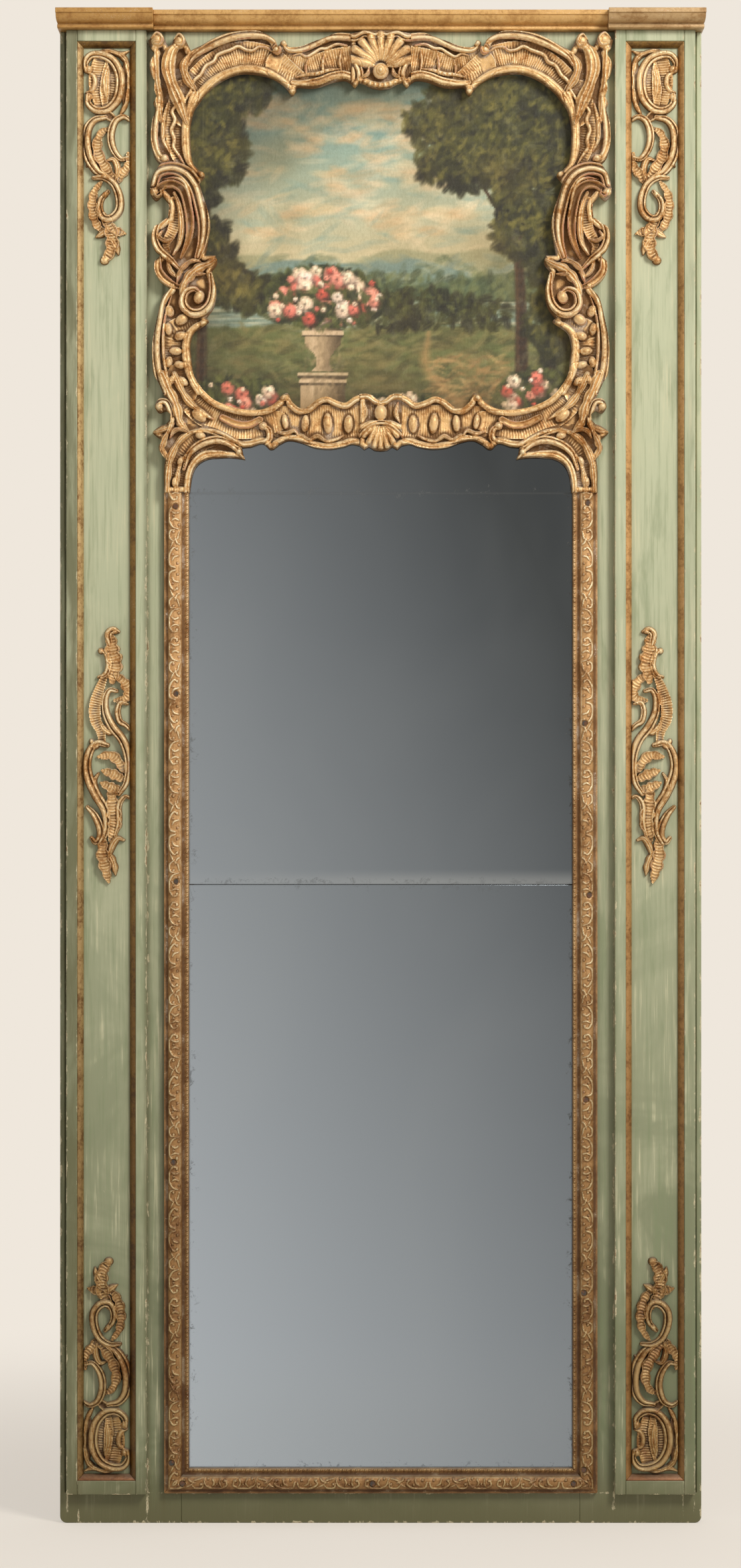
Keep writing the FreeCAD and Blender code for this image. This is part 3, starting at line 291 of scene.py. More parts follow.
class Relief:
    """Heights over the board's front, and the distance inside its outline, over a grid in millimetres."""

    def __init__(self, low, high, step):
        self.step = step
        self.x, self.z = np.meshgrid(np.arange(low[0] - 2 * step, high[0] + 3 * step, step),
                                     np.arange(low[1] - 2 * step, high[1] + 3 * step, step))
        self.height = np.zeros(self.x.shape)
        self.edge = np.full(self.x.shape, -1e3)
        self.free = None

    def window(self, line, margin):
        """The cells within a margin of a line."""
        low, high = line.min(0) - margin, line.max(0) + margin
        first_x, last_x = np.searchsorted(self.x[0], [low[0], high[0]])
        first_z, last_z = np.searchsorted(self.z[:, 0], [low[1], high[1]])
        return slice(first_z, last_z), slice(first_x, last_x)

    def board(self, line):
        """Saws the outline, a closed line of points."""
        closed = np.vstack([line, line[:1]])
        best = nearest_on(closed, self.x, self.z)[0]
        inside = np.zeros(self.x.shape, bool)
        for (ax, az), (bx, bz) in zip(closed[:-1], closed[1:]):
            if az == bz:
                continue
            crosses = (self.z >= min(az, bz)) & (self.z < max(az, bz))
            inside ^= crosses & (self.x < ax + (self.z - az) * (bx - ax) / (bz - az))
        self.edge = np.where(inside, best, -best)
        self.free = np.full(self.x.shape, 1e3)
        for start, end in zip(closed[:-1], closed[1:]):
            if not on_seam((start + end) / 2):
                self.free = np.minimum(self.free, nearest_on((start, end), self.x, self.z)[0])

    def lip(self, width, rise):
        """A rounded lip along the sawn edge."""
        across = np.clip(self.free / width, 0, 1) * 2 - 1
        shape = rise * np.sqrt(np.clip(1 - across ** 2, 0, 1))
        self.height = np.where(self.free < width, np.maximum(self.height, shape), self.height)

    def stroke(self, points, half_width, rise, cut=scroll, ends=(0.35, 0.35), side=1, lobes=0, floor=0.0,
               undercut=1.3, grow=False):
        """Carves a stroke along the points. It thins towards its ends to the given shares of its width."""
        line = smooth_line(points)
        part = self.window(line, half_width + 3)
        x, z = self.x[part], self.z[part]
        if not x.size:
            return
        best, across, run, length = nearest_on(line, x, z)
        share = run / max(length, 1e-6)
        first, last = ends
        swell = np.minimum(1, np.minimum(first + (1 - first) * np.sin(np.clip(share / 0.45, 0, 1) * math.pi / 2),
                                         last + (1 - last) * np.sin(np.clip((1 - share) / 0.45, 0, 1) * math.pi / 2)))
        width = half_width * swell
        if lobes:
            width = width * (1 - 0.26 * np.abs(np.cos(math.pi * lobes * share)) ** 3)
        s = side * np.sign(across) * np.minimum(best / np.maximum(width, 0.2), 3)
        inside = np.abs(s) < 1
        shape = np.where(inside, floor + rise * cut(np.clip(s, -1, 1), run, share) * (0.45 + 0.55 * swell), -99)
        ground = self.height[part]
        ring = np.clip(1 - (best - width) / 1.8, 0, 1) * (~inside)
        ground = ground - undercut * ring * (ground > 0.2 * rise)
        self.height[part] = np.where(inside, np.maximum(ground, shape), ground)
        if grow:
            self.edge[part] = np.maximum(self.edge[part], width - best)

    def egg(self, centre, half_width, half_height, rise, turn=0.0, grow=False, groove=1.2):
        """Carves an egg or a scroll's eye with a groove round it."""
        reach = max(half_width, half_height)
        part = self.window(np.array([centre]), reach + 4)
        dx, dz = self.x[part] - centre[0], self.z[part] - centre[1]
        angle = math.radians(turn)
        along = dx * math.cos(angle) + dz * math.sin(angle)
        up = -dx * math.sin(angle) + dz * math.cos(angle)
        r = np.hypot(along / half_width, up / half_height)
        dome = rise * np.sqrt(np.clip(1 - r ** 2, 0, 1))
        ring = np.exp(-((r - 1.15) / 0.16) ** 2) * (r > 1)
        ground = self.height[part] - groove * ring
        self.height[part] = np.where(r < 1, np.maximum(ground, dome), ground)
        if grow:
            self.edge[part] = np.maximum(self.edge[part], (1 - r) * min(half_width, half_height))

    def texture(self, rng, depth=0.25):
        """The unevenness that a gouge and old gesso leave."""
        rough = rng.standard_normal(self.x.shape)
        weight = np.ones(self.x.shape)
        soft = blurred(rough, weight, 2)
        broad = blurred(rough, weight, 7)
        self.height += depth * (soft / soft.std() * 0.45 + broad / broad.std())

    def piece(self, name, place, back, front, slot, material, replaced, mirrored=False, round_over=2.4):
        """The closed mesh of the carving: its relief, the sawn edge and a flat back."""
        inside = self.edge > -0.5 * self.step
        cells = inside[:-1, :-1] & inside[1:, :-1] & inside[:-1, 1:] & inside[1:, 1:]
        used = np.zeros(self.x.shape, int)
        for rows, columns in ((slice(None, -1), slice(None, -1)), (slice(1, None), slice(None, -1)),
                              (slice(None, -1), slice(1, None)), (slice(1, None), slice(1, None))):
            used[rows, columns] += cells
        rim = (used > 0) & (used < 4)
        slope_z, slope_x = np.gradient(self.edge, self.step)
        steepness = np.maximum(np.hypot(slope_x, slope_z), 0.5)
        reach = np.clip(self.edge / steepness, -self.step, self.step)
        x = np.where(rim, self.x - reach * slope_x / steepness, self.x)
        z = np.where(rim, self.z - reach * slope_z / steepness, self.z)
        from_edge = self.edge if self.free is None else self.free
        depth_in = np.where(rim & (from_edge < 2 * self.step), 0, np.clip(from_edge, 0, round_over))
        eased = round_over - np.sqrt(np.maximum(round_over ** 2 - (round_over - depth_in) ** 2, 0))
        height = self.height - eased * 0.8
        weight = (self.edge > 0).astype(float)
        crest = self.height - blurred(self.height, weight, max(1, int(1.6 / self.step)))
        cavity = blurred(self.height, weight, max(2, int(4.5 / self.step))) - self.height

        index = np.full(self.x.shape, -1)
        index[used > 0] = np.arange((used > 0).sum())
        total = (used > 0).sum()
        u, w, y = x[used > 0], z[used > 0], height[used > 0]
        world_x, world_z = place(u, w)
        front_points = np.column_stack([world_x, -(front + y), world_z])
        back_points = np.column_stack([world_x, np.full(total, -back), world_z])
        low_left, low_right = index[:-1, :-1][cells], index[:-1, 1:][cells]
        high_left, high_right = index[1:, :-1][cells], index[1:, 1:][cells]
        front_faces = np.column_stack([low_left, low_right, high_right, high_left])
        padded = np.pad(cells, 1)
        walls = []
        for rows, columns, a, b in ((0, 1, low_left, low_right), (2, 1, high_right, high_left),
                                    (1, 0, high_left, low_left), (1, 2, low_right, high_right)):
            open_side = ~padded[rows:rows + cells.shape[0], columns:columns + cells.shape[1]][cells]
            walls.append(np.column_stack([b[open_side], a[open_side], a[open_side] + total, b[open_side] + total]))
        faces = np.vstack([front_faces, *walls])
        points = np.vstack([front_points, back_points])
        crests = np.concatenate([crest[used > 0], np.zeros(total)])
        cavities = np.concatenate([cavity[used > 0], np.full(total, 2.0)])
        kept = np.zeros(2 * total, bool)
        kept[faces.ravel()] = True
        renumbered = np.cumsum(kept) - 1
        points, faces = points[kept], renumbered[faces]
        if mirrored:
            points = points * (-1, 1, 1)
            faces = faces[:, ::-1]
        piece = mesh_piece(name, points, faces, material, replaced)
        give(piece.data, "crest", crests[kept])
        give(piece.data, "cavity", cavities[kept])
        close_back(piece.data)
        return piece


def on_cartouche(u, w):
    """A drawn point of the cartouche, moved to the frame's own height."""
    stretch = (CREST - CARVING_FOOT) / (DRAWN_CREST - DRAWN_FOOT)
    return u, CARVING_FOOT + (w - DRAWN_FOOT) * stretch


def curve_through(runs):
    """An outline's points, from runs that are straight, round or smooth, as the board's own outline has them."""
    line = []
    for number, points in enumerate(runs):
        following = runs[(number + 1) % len(runs)][0]
        ends = [*points, following]
        line.append(smooth_line(ends)[:-1])
    return np.vstack(line)


# ---------------------------------------------------------------- the carver's patterns, right half

CREST_SEAM = 44.0
UPPER_JOINT = 2066.0
LOWER_JOINT = 1660.0
FOOT_SEAM = 31.0
CORNER_SEAM = ((262, 1600), (238, 1593), (214, 1581), (202, 1566))

TOP_OUTLINE = (
    ((CREST_SEAM, 2096),), ((CREST_SEAM, 2168), (63, 2168), (93, 2157), (118, 2148), (133, 2149)),
    ((141, 2158), (146, 2155)), ((145, 2150),),
    ((149, 2146), (156, 2160), (173, 2169), (193, 2171), (233, 2165), (262, 2150)),
    ((276, 2143), (291, 2168)), ((306, 2149),), ((309, 2149), (322, 2170)),
    ((338, 2158), (335, 2147), (329, 2138), (336, 2123), (334, 2108)),
    ((328, 2098), (329, 2085), (326, 2075)), ((331, UPPER_JOINT),),
    ((265, UPPER_JOINT), (253, 2082), (233, 2098), (213, 2107.5), (193, 2110), (163, 2105), (143, 2094)),
    ((134, 2084), (129, 2078)), ((123, 2084), (121, 2090), (103, 2089), (88, 2091), (68, 2098), (52, 2100)),
)
SIDE_OUTLINE = (
    ((265, UPPER_JOINT),), ((331, UPPER_JOINT), (328, 2056), (333, 2035), (334, 2010), (329, 1988)),
    ((320, 1977), (330, 1964)), ((334, 1951), (335, 1935), (327, 1925)), ((318, 1932), (308, 1918)),
    ((309, 1900), (320, 1892), (330, 1884), (333, 1866), (328, 1852)),
    ((319, 1845), (328, 1836), (328, 1820), (320, 1807)), ((306, 1797), (318, 1782), (326, 1750), (332, 1715)),
    ((332, 1690), (330, 1672)), ((323, LOWER_JOINT),),
    ((266, LOWER_JOINT), (273, 1675), (276, 1700), (277, 1715), (272, 1732)),
    ((259, 1742), (250, 1749)), ((254, 1754), (243, 1770), (239, 1792), (243, 1812)), ((246, 1822), (238, 1834)),
    ((240, 1845),), ((255, 1845), (251, 1868), (248, 1890), (252, 1912), (260, 1937)),
    ((264, 1950), (256, 1962)), ((265, 1969), (274, 1982), (277, 2010), (277, 2032), (272, 2055)),
)
FOOT_OUTLINE = (
    ((FOOT_SEAM, 1643), (38, 1640), (52, 1631), (66, 1635), (78, 1640), (92, 1636), (106, 1625), (118, 1623)),
    ((129, 1632), (136, 1645)), ((147, 1638), (150, 1633), (169, 1622), (192, 1620.5), (218, 1625), (242, 1635)),
    ((258, 1649), (266, LOWER_JOINT)), ((266.5, LOWER_JOINT),), ((323, LOWER_JOINT), (317, 1646)),
    ((313, 1637), (322, 1637), (328, 1625), (322, 1616), (312, 1619)), ((305, 1613), (307, 1606)),
    ((312, 1600),), ((262, 1600), (238, 1593), (214, 1581)), ((202, 1566),),
    ((190, 1567), (172, 1572), (160, 1563), (148, 1570), (134, 1576), (116, 1573), (96, 1566), (74, 1564)),
    ((54, 1567), (42, 1571)), ((FOOT_SEAM, 1569),),
)
CORNER_OUTLINE = (
    ((315, 1500), (315, 1534)), ((313, 1549), (319, 1556), (323, 1566), (319, 1576), (331, 1587), (322, 1596)),
    ((312, 1600),), ((262, 1600), (238, 1593), (214, 1581)), ((202, 1566), (200, 1556)),
    ((197, 1549), (215, 1551), (235, 1551), (252, 1549), (266, 1541), (274, 1526)), ((278, 1500),),
)
CREST_HALF = ((0, DRAWN_CREST), (22, DRAWN_CREST), (CREST_SEAM, 2168), (CREST_SEAM, 2096), (38, 2089), (31, 2097),
              (24, 2095), (13, 2089), (0, 2087))
FOOT_SHELL_HALF = ((0, 1633), (5, 1636), (12, 1642), (22, 1644), (FOOT_SEAM, 1643), (FOOT_SEAM, 1569), (24, 1563),
                   (17, 1567), (9, 1562), (0, DRAWN_FOOT))


# The cartouche's strokes: points, half width, rise, cut, ends, bold side, lobes, floor and undercut.
# Its eggs: middle, half width, half height, rise and turn.
TOP_STROKES = (
    (((146, 2122), (128, 2116), (108, 2113), (90, 2117), (66, 2124), (30, 2130)), 22, 7, flute, (1, 1), 1, 0, -4),
    (((122, 2096), (140, 2112), (158, 2128), (176, 2135), (197, 2138), (222, 2133), (246, 2119), (266, 2099),
     (280, 2072), (284, 2050)), 19, 7, flute, (1, 1), 1, 0, -4),
    (((137, 2092), (150, 2103), (168, 2112), (193, 2116), (215, 2112), (236, 2103), (254, 2089), (270, 2070),
     (276, 2052)), 6.5, 7.5, scroll, (0.7, 1), -1),
    (((128, 2096), (116, 2095), (104, 2096), (88, 2099), (70, 2106), (54, 2108), (36, 2102)), 6, 9, scroll,
     (0.6, 1), -1),
    (((122, 2104), (106, 2108), (92, 2109), (76, 2114), (60, 2116)), 3.2, 9, shell, (0.4, 0.4)),
    (((156, 2140), (166, 2147), (178, 2148), (186, 2143), (196, 2144), (207, 2149), (218, 2144), (227, 2141),
     (238, 2136), (243, 2127), (254, 2121), (262, 2108), (272, 2098), (276, 2084), (284, 2070), (286, 2050)), 2.7, 7,
     domed, (0.5, 1)),
    (((127, 2136), (117, 2138), (108, 2134), (98, 2139), (88, 2145), (78, 2146), (64, 2152), (50, 2150)), 2.6, 7,
     domed, (0.5, 0.7)),
    (((147, 2146), (152, 2155), (164, 2163), (178, 2166), (196, 2166), (215, 2163), (235, 2156), (253, 2147),
     (272, 2134), (280, 2122)), 7.5, 14, scroll, (0.6, 0.4)),
    (((142, 2152), (133, 2144), (115, 2145), (95, 2153), (78, 2161), (60, 2163), (36, 2161)), 6.2, 12.5, scroll,
     (0.5, 1), -1),
    (((58, 2143), (59.5, 2126.5), (57, 2110)), 1.92, 5.5, domed),
    (((82, 2139), (84.5, 2123), (83, 2107)), 1.92, 5.5, domed),
    (((106, 2130), (109, 2118), (108, 2106)), 1.6, 5.5, domed),
    (((320, 2040), (325, 2076), (328, 2102), (330, 2124), (330, 2142), (323, 2156)), 9.5, 13, leaf, (0.5, 0.8), 1,
     2),
    (((282, 2036), (292, 2066), (303, 2092), (309, 2118), (304, 2141), (292, 2153)), 11.5, 16, leaf, (0.4, 0.75),
     1, 2),
    (((270, 2084), (282, 2102), (286, 2120), (278, 2138)), 7.5, 13, leaf, (0.3, 0.4), 1, 2),
    (((336, 2146), (334, 2132), (335, 2118)), 3, 10, domed),
)
TOP_EGGS = (
    ((324, 2157), 11, 12, 18), ((292, 2155), 10, 11, 17), ((129, 2083), 5.5, 5.5, 11), ((140, 2153), 5.5, 5, 14),
    ((151, 2143), 6.5, 6.5, 16),
)
TOP_CURLS = (
    (((333, 2160), (325, 2167), (317, 2160), (320, 2151), (328, 2151)), 3, 19, domed, (0.6, 0.3)),
    (((301, 2158), (293, 2165), (286, 2158), (288, 2150), (296, 2150)), 3, 18, domed, (0.6, 0.3)),
    (((157, 2146), (152, 2150), (146, 2145), (149, 2138), (156, 2139)), 2.2, 17, domed, (0.6, 0.3)),
)
SIDE_STROKES = (
    (((286, 2080), (291, 2046), (291, 2012), (284, 1984), (276, 1972)), 21, 7, flute, (1, 0.6), 1, 0, -4),
    (((262, 1740), (296, 1728), (300, 1700), (297, 1672), (290, 1650)), 25, 6, flute, (0.8, 1), 1, 0, -4),
    (((271, 2078), (280, 2050), (283, 2030), (283, 2005), (279, 1985), (270, 1970), (260, 1962)), 6.5, 7.5, scroll,
     (1, 0.6), -1),
    (((300, 2080), (296, 2066), (303, 2054), (299, 2042), (304, 2028), (300, 2014), (301, 2002), (293, 1990),
     (285, 1976)), 2.8, 7, domed, (1, 0.5)),
    (((323, 2078), (326, 2054), (329, 2032), (329, 2010), (323, 1991), (311, 1984)), 6.2, 12, scroll, (1, 0.6)),
    (((310, 2066), (316, 2040), (316, 2014), (308, 1996)), 3.6, 8, leaf, (0.4, 0.3)),
    (((331, 1946), (324, 1965), (304, 1971), (284, 1964), (270, 1947), (262, 1922), (257, 1892), (259, 1865),
     (266, 1842)), 11, 16.5, grooved, (0.7, 0.45)),
    (((316, 1955), (300, 1957), (286, 1950), (278, 1930), (274, 1902)), 3.2, 16, domed, (0.2, 0.2)),
    (((326, 1938), (314, 1947), (300, 1948), (287, 1938), (280, 1915), (277, 1890), (280, 1866), (290, 1842)), 6.8, 15,
     twin, (0.8, 0.3)),
    (((300, 1936), (292, 1916), (289, 1890), (292, 1864), (302, 1846)), 5.5, 11.5, leaf, (0.5, 0.3)),
    (((301, 1926), (299, 1900), (303, 1880), (312, 1862), (308, 1848)), 8, 7, flute, (0.6, 0.3)),
    (((311, 1916), (314, 1902), (325, 1890), (329, 1872), (322, 1853), (305, 1838), (288, 1820)), 6.2, 14.5,
     scroll, (0.8, 0.3), -1),
    (((304, 1868), (314, 1866), (322, 1872), (318, 1880)), 3.4, 15, leaf, (0.4, 0.5)),
    (((324, 1842), (323, 1822), (309, 1806), (291, 1798)), 6.8, 13, twin, (0.7, 0.4)),
    (((310, 1838), (305, 1822), (294, 1812)), 4.2, 11, leaf, (0.5, 0.3)),
    (((237, 1840), (250, 1832), (268, 1824), (284, 1806), (290, 1788)), 8.5, 15.5, leaf, (0.3, 0.5), 1, 4),
    (((262, 1836), (276, 1836), (290, 1824), (296, 1806)), 5, 17, leaf, (0.3, 0.4), 1, 3),
    (((255, 1818), (272, 1816), (282, 1802)), 3.2, 16.5, leaf, (0.3, 0.4)),
    (((246, 1816), (244, 1795), (248, 1775), (261, 1762), (277, 1762), (287, 1774), (284, 1790), (272, 1796),
     (262, 1790)), 7.2, 16.5, scroll, (0.7, 0.4)),
    (((256, 1746), (268, 1742), (280, 1728), (283, 1708), (281, 1686), (273, 1664), (264, 1648)), 6.4, 7.5, scroll,
     (0.6, 1), -1),
    (((302, 1802), (317, 1779), (323, 1752), (327, 1724), (327, 1696), (323, 1670), (315, 1646)), 6.8, 12.5,
     scroll, (0.4, 1)),
    (((304, 1786), (312, 1762), (316, 1735), (316, 1705), (312, 1675), (305, 1646)), 2.4, 9.5, domed, (0.4, 1)),
)
SIDE_EGGS = (
    ((329, 1936), 7, 7, 17), ((314, 1986), 6, 6, 14), ((260, 1963), 5.5, 5.5, 12), ((264, 1784), 8, 10, 15, 20),
    ((258, 1746), 6, 5.5, 12), ((312, 1914), 4.5, 4.5, 15), ((289, 1752), 10, 7.5, 11, -35),
    ((307, 1764), 6.5, 9, 10, -20), ((291, 1728), 9, 6.5, 10, -15), ((309, 1738), 5.5, 9, 9, -10),
    ((298, 1706), 9.5, 6, 9, 5), ((292, 1686), 8.5, 5.5, 10, 15), ((308, 1690), 5.5, 8.5, 9.5, 10),
    ((288, 1662), 9, 6, 10, 35), ((303, 1664), 5, 8, 10, 20),
)
SIDE_CURLS = (
    (((331, 1941), (326, 1930), (319, 1933), (321, 1941)), 2.2, 18.5, domed, (0.6, 0.3)),
)
FOOT_STROKES = (
    (((20, 1604), (60, 1600), (100, 1600), (136, 1602), (160, 1606)), 29, 5, flute, (1, 0.7), 1, 0, -4),
    (((150, 1604), (190, 1598), (232, 1606), (266, 1628), (290, 1668)), 22, 6, flute, (0.7, 1), 1, 0, -4),
    (((272, 1672), (257, 1647), (239, 1632), (215, 1622), (191, 1617), (167, 1619), (151, 1627), (143, 1638)), 6, 7.5,
     scroll, (1, 0.7)),
    (((135, 1640), (122, 1626), (106, 1622), (93, 1631), (79, 1636), (64, 1630), (50, 1627), (36, 1636), (20, 1640)),
     5, 9.5, scroll, (0.6, 1), -1),
    (((150, 1565), (135, 1571), (118, 1568), (98, 1563), (76, 1560), (55, 1563), (38, 1569), (20, 1573)), 6, 10,
     scroll, (0.6, 1)),
    (((132, 1581), (116, 1583), (104, 1577), (92, 1582), (80, 1575), (66, 1577), (54, 1583)), 3.6, 10, leaf,
     (0.4, 0.5), 1, 3),
    (((150, 1588), (138, 1586), (126, 1590), (120, 1584)), 3.6, 11, leaf, (0.4, 0.4)),
    (((318, 1672), (308, 1648), (298, 1626), (292, 1602), (280, 1588)), 9, 14, leaf, (1, 0.5), 1, 4),
    (((300, 1672), (290, 1650), (279, 1633), (262, 1618), (244, 1607)), 6, 9, leaf, (1, 0.3), 1, 3),
    (((302, 1600), (305, 1618), (311, 1631), (321, 1632), (325, 1624), (319, 1619)), 5.4, 14, scroll, (0.6, 0.5)),
    (((174, 1598), (163, 1591), (163, 1577), (178, 1570), (198, 1567), (214, 1574), (236, 1586), (262, 1592)), 6, 11.5,
     scroll, (0.6, 0.5), -1),
    (((176, 1606), (192, 1599), (210, 1600), (230, 1609)), 5.6, 8, twin, (0.9, 0.9), 1, 0, 0, 0.6),
)
FOOT_EGGS = (
    ((141, 1638), 5.5, 5.5, 12), ((322, 1625), 6.5, 6.5, 16), ((264, 1612), 12, 7.5, 11, 38),
    ((139, 1603), 4.5, 11, 7.5, -8), ((110, 1601), 5.5, 12.5, 8.5, 4), ((77, 1601), 6.5, 15, 9, -4),
    ((47, 1600), 6.5, 13, 8.5, 2), ((153, 1567), 6, 5.5, 12), ((171, 1597), 6, 6, 13),
)
CORNER_STROKES = (
    (((298, 1480), (297, 1520), (287, 1552), (262, 1573), (236, 1580)), 17, 6, flute, (1, 0.6), 1, 0, -3),
    (((282, 1482), (281, 1518), (274, 1541), (258, 1556), (238, 1558), (220, 1556), (200, 1552)), 4.4, 8.5, scroll,
     (1, 0.5)),
    (((286, 1534), (278, 1557), (261, 1571), (240, 1577), (222, 1573), (208, 1562), (199, 1551)), 6.4, 12.5,
     scroll, (0.4, 0.5), -1),
    (((310, 1482), (310, 1520), (306, 1548), (296, 1570), (282, 1584), (264, 1590), (244, 1588)), 6, 11, leaf,
     (1, 0.4), 1, 5),
    (((297, 1482), (297, 1510), (293, 1536), (284, 1556)), 4.5, 9, leaf, (1, 0.3), 1, 3),
    (((311, 1548), (319, 1562), (316, 1576), (308, 1590), (302, 1606)), 5.2, 13, leaf, (0.5, 1), 1, 3),
    (((330, 1588), (318, 1590), (304, 1596)), 4.6, 12, leaf, (0.4, 0.7)),
    (((276, 1586), (288, 1592), (300, 1590), (306, 1580)), 4.6, 14.5, leaf, (0.4, 0.4), 1, 2),
)
CORNER_EGGS = (
    ((262, 1583), 8, 5.5, 12, 10), ((206, 1559), 5, 5, 13), ((299, 1515), 5, 8, 11), ((291, 1546), 4.5, 7, 11, 25),
)


# The shells' strokes on the right half: points, half width, rise, cut, ends and bold side.
CREST_STROKES = (
    (((52, 2164), (38, 2160), (24, 2166), (10, 2163), (0, 2166)), 5.5, 15, scroll, (1, 0.7), 1),
    (((39, 2090), (31, 2100), (31, 2114), (39, 2128), (50, 2134)), 5.6, 12, scroll, (0.6, 0.6), 1),
    (((30, 2102), (20, 2108), (17, 2118)), 3.4, 12, leaf, (0.35, 0.35), 1),
)
FOOT_SHELL_STROKES = (
    (((44, 1638), (30, 1640), (18, 1640), (8, 1633), (0, 1631)), 4.4, 10, scroll, (1, 0.7), -1),
    (((25, 1631), (22, 1616), (27, 1602)), 3.6, 9, leaf, (0.35, 0.35), 1),
)
SHELL_RIBS = 9


def carve_ribs(relief, foot, first, turn, narrowing, reaches, half_width, rise):
    """A shell's ribs, which fan out from its foot."""
    for number in range(SHELL_RIBS):
        angle = math.radians(first + turn * number)
        line = [(reach * math.cos(angle) * narrowing, foot + reach * math.sin(angle)) for reach in reaches]
        relief.stroke(line, half_width, rise, domed, (0.5, 0.95))


def carve_both(relief, strokes):
    """Strokes and their mirror images, with the bold side turned over."""
    for side in SIGNS:
        for points, half_width, rise, cut, ends, bold in strokes:
            relief.stroke([(side * u, w) for u, w in points], half_width, rise, cut, ends, side * bold)


def carve_crest(relief):
    """The shell over the canvas."""
    relief.stroke(((-60, 2130), (0, 2126), (60, 2130)), 40, 4, flute, (1, 1), floor=-3)
    carve_ribs(relief, 2118, 14, 19, 0.95, (12, 30, 47), 7.6, 15)
    carve_both(relief, CREST_STROKES)
    for side in SIGNS:
        relief.egg((side * 36, 2093), 5, 5, 12)
    relief.stroke(((-30, 2099), (-16, 2095), (0, 2092), (16, 2095), (30, 2099)), 5, 10, shell, (0.7, 0.7))
    relief.egg((0, 2113), 12, 12.5, 17)
    relief.egg((0, 2113), 6, 6.5, 19)


def carve_foot_shell(relief):
    """The shell between the canvas and the glass."""
    relief.stroke(((-50, 1606), (0, 1606), (50, 1606)), 40, 4, flute, (1, 1), floor=-3)
    carve_ribs(relief, 1606, 196, 18.5, 0.72, (10, 24, 40), 5.2, 12)
    relief.stroke(((-40, 1573), (-26, 1590), (-14, 1599), (0, 1602), (14, 1599), (26, 1590), (40, 1573)), 4, 12.5,
                  scroll, (0.8, 0.8))
    carve_both(relief, FOOT_SHELL_STROKES)
    relief.egg((0, 1616), 9.5, 12.5, 15)


def on_seam(point):
    """Whether two of the cartouche's boards meet at a point of an outline."""
    x, z = point
    if min(abs(z - UPPER_JOINT), abs(z - LOWER_JOINT), abs(x - CREST_SEAM), abs(x - FOOT_SEAM)) < 0.01:
        return True
    return (abs(z - CORNER_SEAM[0][1]) < 0.01 and x > CORNER_SEAM[0][0]) or nearest_on(
        smooth_line(CORNER_SEAM), np.array([[x]]), np.array([[z]]))[0][0, 0] < 0.05


def carve_half(relief):
    """The right half's carving, which runs on across the seams of its boards."""
    for strokes, eggs, curls in ((TOP_STROKES, TOP_EGGS, TOP_CURLS), (SIDE_STROKES, SIDE_EGGS, SIDE_CURLS),
                                 (FOOT_STROKES, FOOT_EGGS, ()), (CORNER_STROKES, CORNER_EGGS, ())):
        for stroke in strokes:
            relief.stroke(*stroke)
        for egg in eggs:
            relief.egg(*egg)
        for curl in curls:
            relief.stroke(*curl)


def board_piece(name, outline_runs, carve, replaced, seed, step, mirrored=False):
    """A board of the cartouche: sawn to its outline, lipped and carved."""
    line = curve_through(outline_runs)
    relief = Relief(line.min(0), line.max(0), step)
    relief.board(line)
    relief.height -= GROUND_SUNK
    relief.lip(LIP_WIDTH, LIP_RISE)
    carve(relief)
    relief.texture(np.random.default_rng(seed))
    return relief.piece(name, on_cartouche, BOARD_BACK, BOARD_FRONT, "gilding", gilding("Carved gilding"), [replaced],
                        mirrored)


def both_sides(points):
    """A symmetrical outline's corners from its right half, which runs from the middle of the top to the foot."""
    return tuple(((x, z),) for x, z in points) + tuple(((-x, z),) for x, z in points[::-1] if x > 0)


